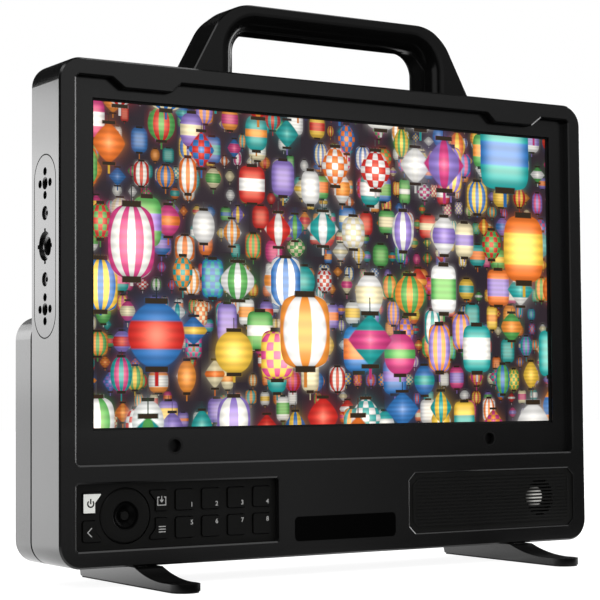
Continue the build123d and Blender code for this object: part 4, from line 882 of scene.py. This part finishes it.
def contact_row(tree, count, pitch, wire, points, mouth):
    """One row of contacts and its place: y and height of root, bend and tip from the mouth."""
    start = -(count - 1) / 2 * pitch
    root, bend, tip = [(start * MM, y * MM, z * MM) for y, z in points]
    data = grown_mesh("contacts", tree, {
        "Count": count, "Pitch": (pitch * MM, 0, 0), "Wire": wire * MM,
        "Root": root, "Bend": bend, "Tip": tip})
    return data, Matrix.Translation(mouth)


def port_contacts():
    """The gold contacts of the network port and of the two flat ports."""
    tree = contact_growth()
    low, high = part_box("network_port")
    mouth = ((low.x + high.x) / 2, high.y, (low.z + high.z) / 2)
    parts = [contact_row(tree, NETWORK_CONTACTS, NETWORK_PITCH, NETWORK_WIRE,
                         ((-10.5, 3.6), (-7.0, 4.2), (-3.2, 1.6)), mouth)]
    low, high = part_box("hdmi_ports")
    for centre in (low.x + FLAT_PORT_MIDDLE * MM, high.x - FLAT_PORT_MIDDLE * MM):
        mouth = (centre, high.y, (low.z + high.z) / 2)
        for count, rise in FLAT_ROWS:
            parts.append(contact_row(tree, count, FLAT_PITCH, FLAT_WIRE,
                                     ((-7.5, rise), (-4.5, rise), (-1.3, rise)), mouth))
    data = merged("port_contacts", parts)
    place_piece("port_contacts", data, "chassis", "gold_contact")


side_threads()
plate_gaskets()
port_contacts()


# Finishes of the CAD parts: each slot has the finish of its own name, apart from these.

OWN_FINISH = {
    "nav_ring": "ring_painted_dish_shade",
    "select_button": "button_painted_bowl_shade",
    "protector_sockets": "socket_painted_floor_shade",
    "rear_housing": "housing_black",
    "foot_left": "foot_black",
    "foot_right": "foot_black",
}

for node_name, node in frame["nodes"].items():
    for material_slot in node.material_slots:
        slot_name = material_slot.material.name.split(".")[0]
        material_slot.material = FINISHES[OWN_FINISH.get(node_name, slot_name)]


# The studio, in metres

CAMERA_PLACE = (-0.5503, -0.8433, 0.0952)
CAMERA_TURN, CAMERA_RISE, CAMERA_ROLL = 32.06, 2.966, -0.406
CAMERA_LENS, CAMERA_SENSOR = 110.65, 36.0

# Each lamp's name, place, target, width, height and watts.
SOFTBOXES = (
    ("rear_left_box", (-0.355, 0.43, 0.1725), (-0.17, 0.02, 0.1725), 0.45, 0.345, 1.10),
    ("rear_left_middle", (-0.414, 0.401, 0.215), (-0.229, -0.009, 0.215), 0.30, 0.23, 0.153),
    ("rear_left_bright", (-0.413, 0.399, 0.22), (-0.228, -0.011, 0.22), 0.30, 0.12, 0.087),
    ("rear_left_high", (-0.11, 0.52, 0.345), (-0.16, 0.04, 0.15), 0.22, 0.08, 0.032),
    ("right_box", (0.75, 0.2, 0.36), (0.0, 0.2, 0.36), 0.76, 0.7, 7.0),
    ("upper_left_box", (-0.75, -0.5, 1.1), (-0.1, 0.0, 0.28), 0.5, 0.5, 1.6),
    ("top_box", (0.3, 0.7, 1.4), (0.0, 0.02, 0.15), 1.3, 0.8, 5.0),
)

BLACK, WHITE = (0, 0, 0, 1), (1, 1, 1, 1)
WORLD_GREY = (0.75, 0.75, 0.75, 1)

# How bright the world's panels show in gloss, and what is left between them.
LEFT_PANEL = 0.5
FRONT_PANEL = 0.24
RAISED_PANEL = 0.17
HIGH_PANEL = 0.85
BETWEEN_PANELS = 0.008

# How far the floor reaches, how bright the camera sees it, and what it throws back.
FLOOR_REACH = 4.0
FLOOR_SEEN = 0.90
PAPER_DARK, PAPER_PALE = (0.29, 0.29, 0.29, 1), (0.31, 0.31, 0.31, 1)

# How bright each pool of light on the floor shows in gloss.
RIGHT_REAR_GLOW = 0.6
BELOW_GLOW = 0.9
BEHIND_GLOW = 0.4


def camera():
    """The photograph's camera: low, to the left, and looking a little upwards."""
    azimuth, rise, roll = map(math.radians, (CAMERA_TURN, CAMERA_RISE, CAMERA_ROLL))
    forward = Vector((math.sin(azimuth) * math.cos(rise), math.cos(azimuth) * math.cos(rise),
                      math.sin(rise)))
    level = forward.cross(Vector((0, 0, 1))).normalized()
    above = level.cross(forward)
    right = level * math.cos(roll) + above * math.sin(roll)
    top = above * math.cos(roll) - level * math.sin(roll)
    data = bpy.data.cameras.new("camera")
    data.sensor_width = CAMERA_SENSOR
    data.lens = CAMERA_LENS
    data.clip_start = 0.01
    eye = bpy.data.objects.new("camera", data)
    axes = Matrix((right, top, -forward)).transposed().to_4x4()
    eye.matrix_world = Matrix.Translation(CAMERA_PLACE) @ axes
    bpy.context.scene.collection.objects.link(eye)
    bpy.context.scene.camera = eye


def softbox(name, place, target, width, height, watts):
    data = bpy.data.lights.new(name, "AREA")
    data.shape = "RECTANGLE"
    data.size = width
    data.size_y = height
    data.energy = watts
    lamp = bpy.data.objects.new(name, data)
    lamp.location = place
    aim = Vector(target) - Vector(place)
    lamp.rotation_euler = aim.to_track_quat("-Z", "Y").to_euler()
    lamp.visible_camera = False
    bpy.context.scene.collection.objects.link(lamp)


def gloss_ray(ray):
    """1 for a ray that comes off a gloss or through a glass, and 0 for any other."""
    tree = ray.id_data
    through = Value(tree, ray.outputs["Is Transmission Ray"])
    return Value(tree, ray.outputs["Is Glossy Ray"]).at_least(through)


def world():
    """White for the camera, grey light for all else, and soft panels that only gloss sees."""
    scene_world = bpy.data.worlds.new("studio")
    bpy.context.scene.world = scene_world
    scene_world.use_nodes = True
    tree = scene_world.node_tree
    ray = tree.nodes.new("ShaderNodeLightPath")
    where = tree.nodes.new("ShaderNodeTexCoord")
    aside, depth, rise = coordinates(tree, where.outputs["Generated"])
    left_panel = rise_between(-aside, 0.2, 0.3) * rise_between(-depth, 0.66, 0.76) * LEFT_PANEL
    front = (aside * -1.35 + 0.90).at_least(0.0).at_most(FRONT_PANEL)
    front = front + rise_between(rise, 0.05, 0.25) * RAISED_PANEL
    front = front * fall_between(rise, 0.25, 0.38) + rise_between(rise, 0.55, 0.63) * HIGH_PANEL
    front = front * rise_between(-depth, 0.3, 0.42) * rise_between(aside, 0.0, 0.3)
    seen_in_gloss = blend(tree, left_panel + front + BETWEEN_PANELS, BLACK, WHITE)
    light = blend(tree, gloss_ray(ray), WORLD_GREY, seen_in_gloss)
    light = blend(tree, ray.outputs["Is Camera Ray"], light, WHITE)
    background = tree.nodes["Background"]
    tree.links.new(light, background.inputs["Color"])
    background.inputs["Strength"].default_value = 1.0


def bare_material(name):
    """A material with an empty surface, its node tree, and a point's place on the object."""
    material, tree, surface, where = new_material(name)
    tree.nodes.remove(surface)
    return material, tree, where


def stage_mesh(name, mesh, material):
    """Makes a piece of the studio of a mesh."""
    data = mesh_data(name, mesh)
    data.materials.append(material)
    thing = bpy.data.objects.new(name, data)
    bpy.context.scene.collection.objects.link(thing)
    return thing


def floor_glow(x, y):
    """How bright the floor shows in gloss: pools of light beside, under and behind."""
    deeper = (y * 10.0 + 0.8).at_most(2.1).at_least(0.0)
    left_rear = fall_between(x, -0.13, -0.11) * rise_between(y, -0.07, -0.06)
    left_rear = left_rear * fall_between(y, 0.40, 0.46) * deeper

    notch = rise_between(x, 0.03, 0.05) * fall_between(x, 0.105, 0.12)
    below = rise_between(y, -0.08, -0.03) * fall_between(y, 0.0, 0.01)
    below = below * rise_between(x, -0.1, 0.0) * (notch * -0.6 + 1.0)

    under = rise_between(y, -0.01, 0.0) * fall_between(y, 0.15, 0.18)
    under = under * rise_between(x, 0.0, 0.02) * fall_between(x, 0.12, 0.14)
    under = under * (y * 7.0 + 0.4)

    behind = rise_between(x, -0.05, 0.0) * fall_between(x, 0.17, 0.22) * rise_between(y, 0.3, 0.6)
    right_rear = rise_between(x, 0.1, 0.25) * fall_between(x, 0.7, 0.9)
    right_rear = right_rear * rise_between(y, 0.12, 0.25) * fall_between(y, 0.6, 0.75)
    glow = right_rear * RIGHT_REAR_GLOW + left_rear + below * BELOW_GLOW + under
    return glow + behind * BEHIND_GLOW


def floor():
    """A white floor that keeps the object's shadow."""
    mesh = bmesh.new()
    bmesh.ops.create_grid(mesh, x_segments=8, y_segments=8, size=FLOOR_REACH)
    material, tree, where = bare_material("studio_floor")
    paper = tree.nodes.new("ShaderNodeBsdfDiffuse")
    shine = tree.nodes.new("ShaderNodeEmission")
    ray = tree.nodes.new("ShaderNodeLightPath")
    glossy = gloss_ray(ray)
    speckle = blend(tree, noise(tree, where, 40.0), PAPER_DARK, PAPER_PALE)
    tree.links.new(blend(tree, glossy, speckle, BLACK), paper.inputs["Color"])
    x, y, _ = coordinates(tree, where)
    seen = Value(tree, ray.outputs["Is Camera Ray"]) * FLOOR_SEEN
    feed(tree, shine.inputs["Strength"], seen + glossy * floor_glow(x, y))
    both = tree.nodes.new("ShaderNodeAddShader")
    tree.links.new(paper.outputs[0], both.inputs[0])
    tree.links.new(shine.outputs[0], both.inputs[1])
    tree.links.new(both.outputs[0], tree.nodes["Material Output"].inputs["Surface"])
    stage_mesh("studio_floor", mesh, material)


def gloss_card(name, material, y, left, right, low, high):
    """An upright card that only gloss sees."""
    mesh = bmesh.new()
    mesh.faces.new([mesh.verts.new((x, y, z)) for x, z in
                    ((left, low), (right, low), (right, high), (left, high))])
    card = stage_mesh(name, mesh, material)
    card.visible_camera = False
    card.visible_diffuse = False
    card.visible_shadow = False
    card.visible_transmission = False


def front_card():
    """A low card on the floor in front, which lights the lower gloss and fades to the right."""
    material, tree, where = bare_material("front_card")
    fading = coordinates(tree, where)[0] * -0.8 + 0.185
    shine = tree.nodes.new("ShaderNodeEmission")
    feed(tree, shine.inputs["Strength"], fading.at_least(0.035).at_most(0.15))
    tree.links.new(shine.outputs[0], tree.nodes["Material Output"].inputs["Surface"])
    gloss_card("front_card", material, y=-0.13, left=-0.4, right=0.6, low=0.001, high=0.075)


def handle_flag():
    """A black card close behind the finger opening, which keeps the rear lights out of it."""
    gloss_card("handle_flag", FINISHES["hole_black"], y=0.0225, left=-0.061, right=0.061,
               low=0.2665, high=0.2885)


camera()
world()
floor()
front_card()
handle_flag()
for lamp_values in SOFTBOXES:
    softbox(*lamp_values)

bpy.context.scene.view_settings.view_transform = "Standard"
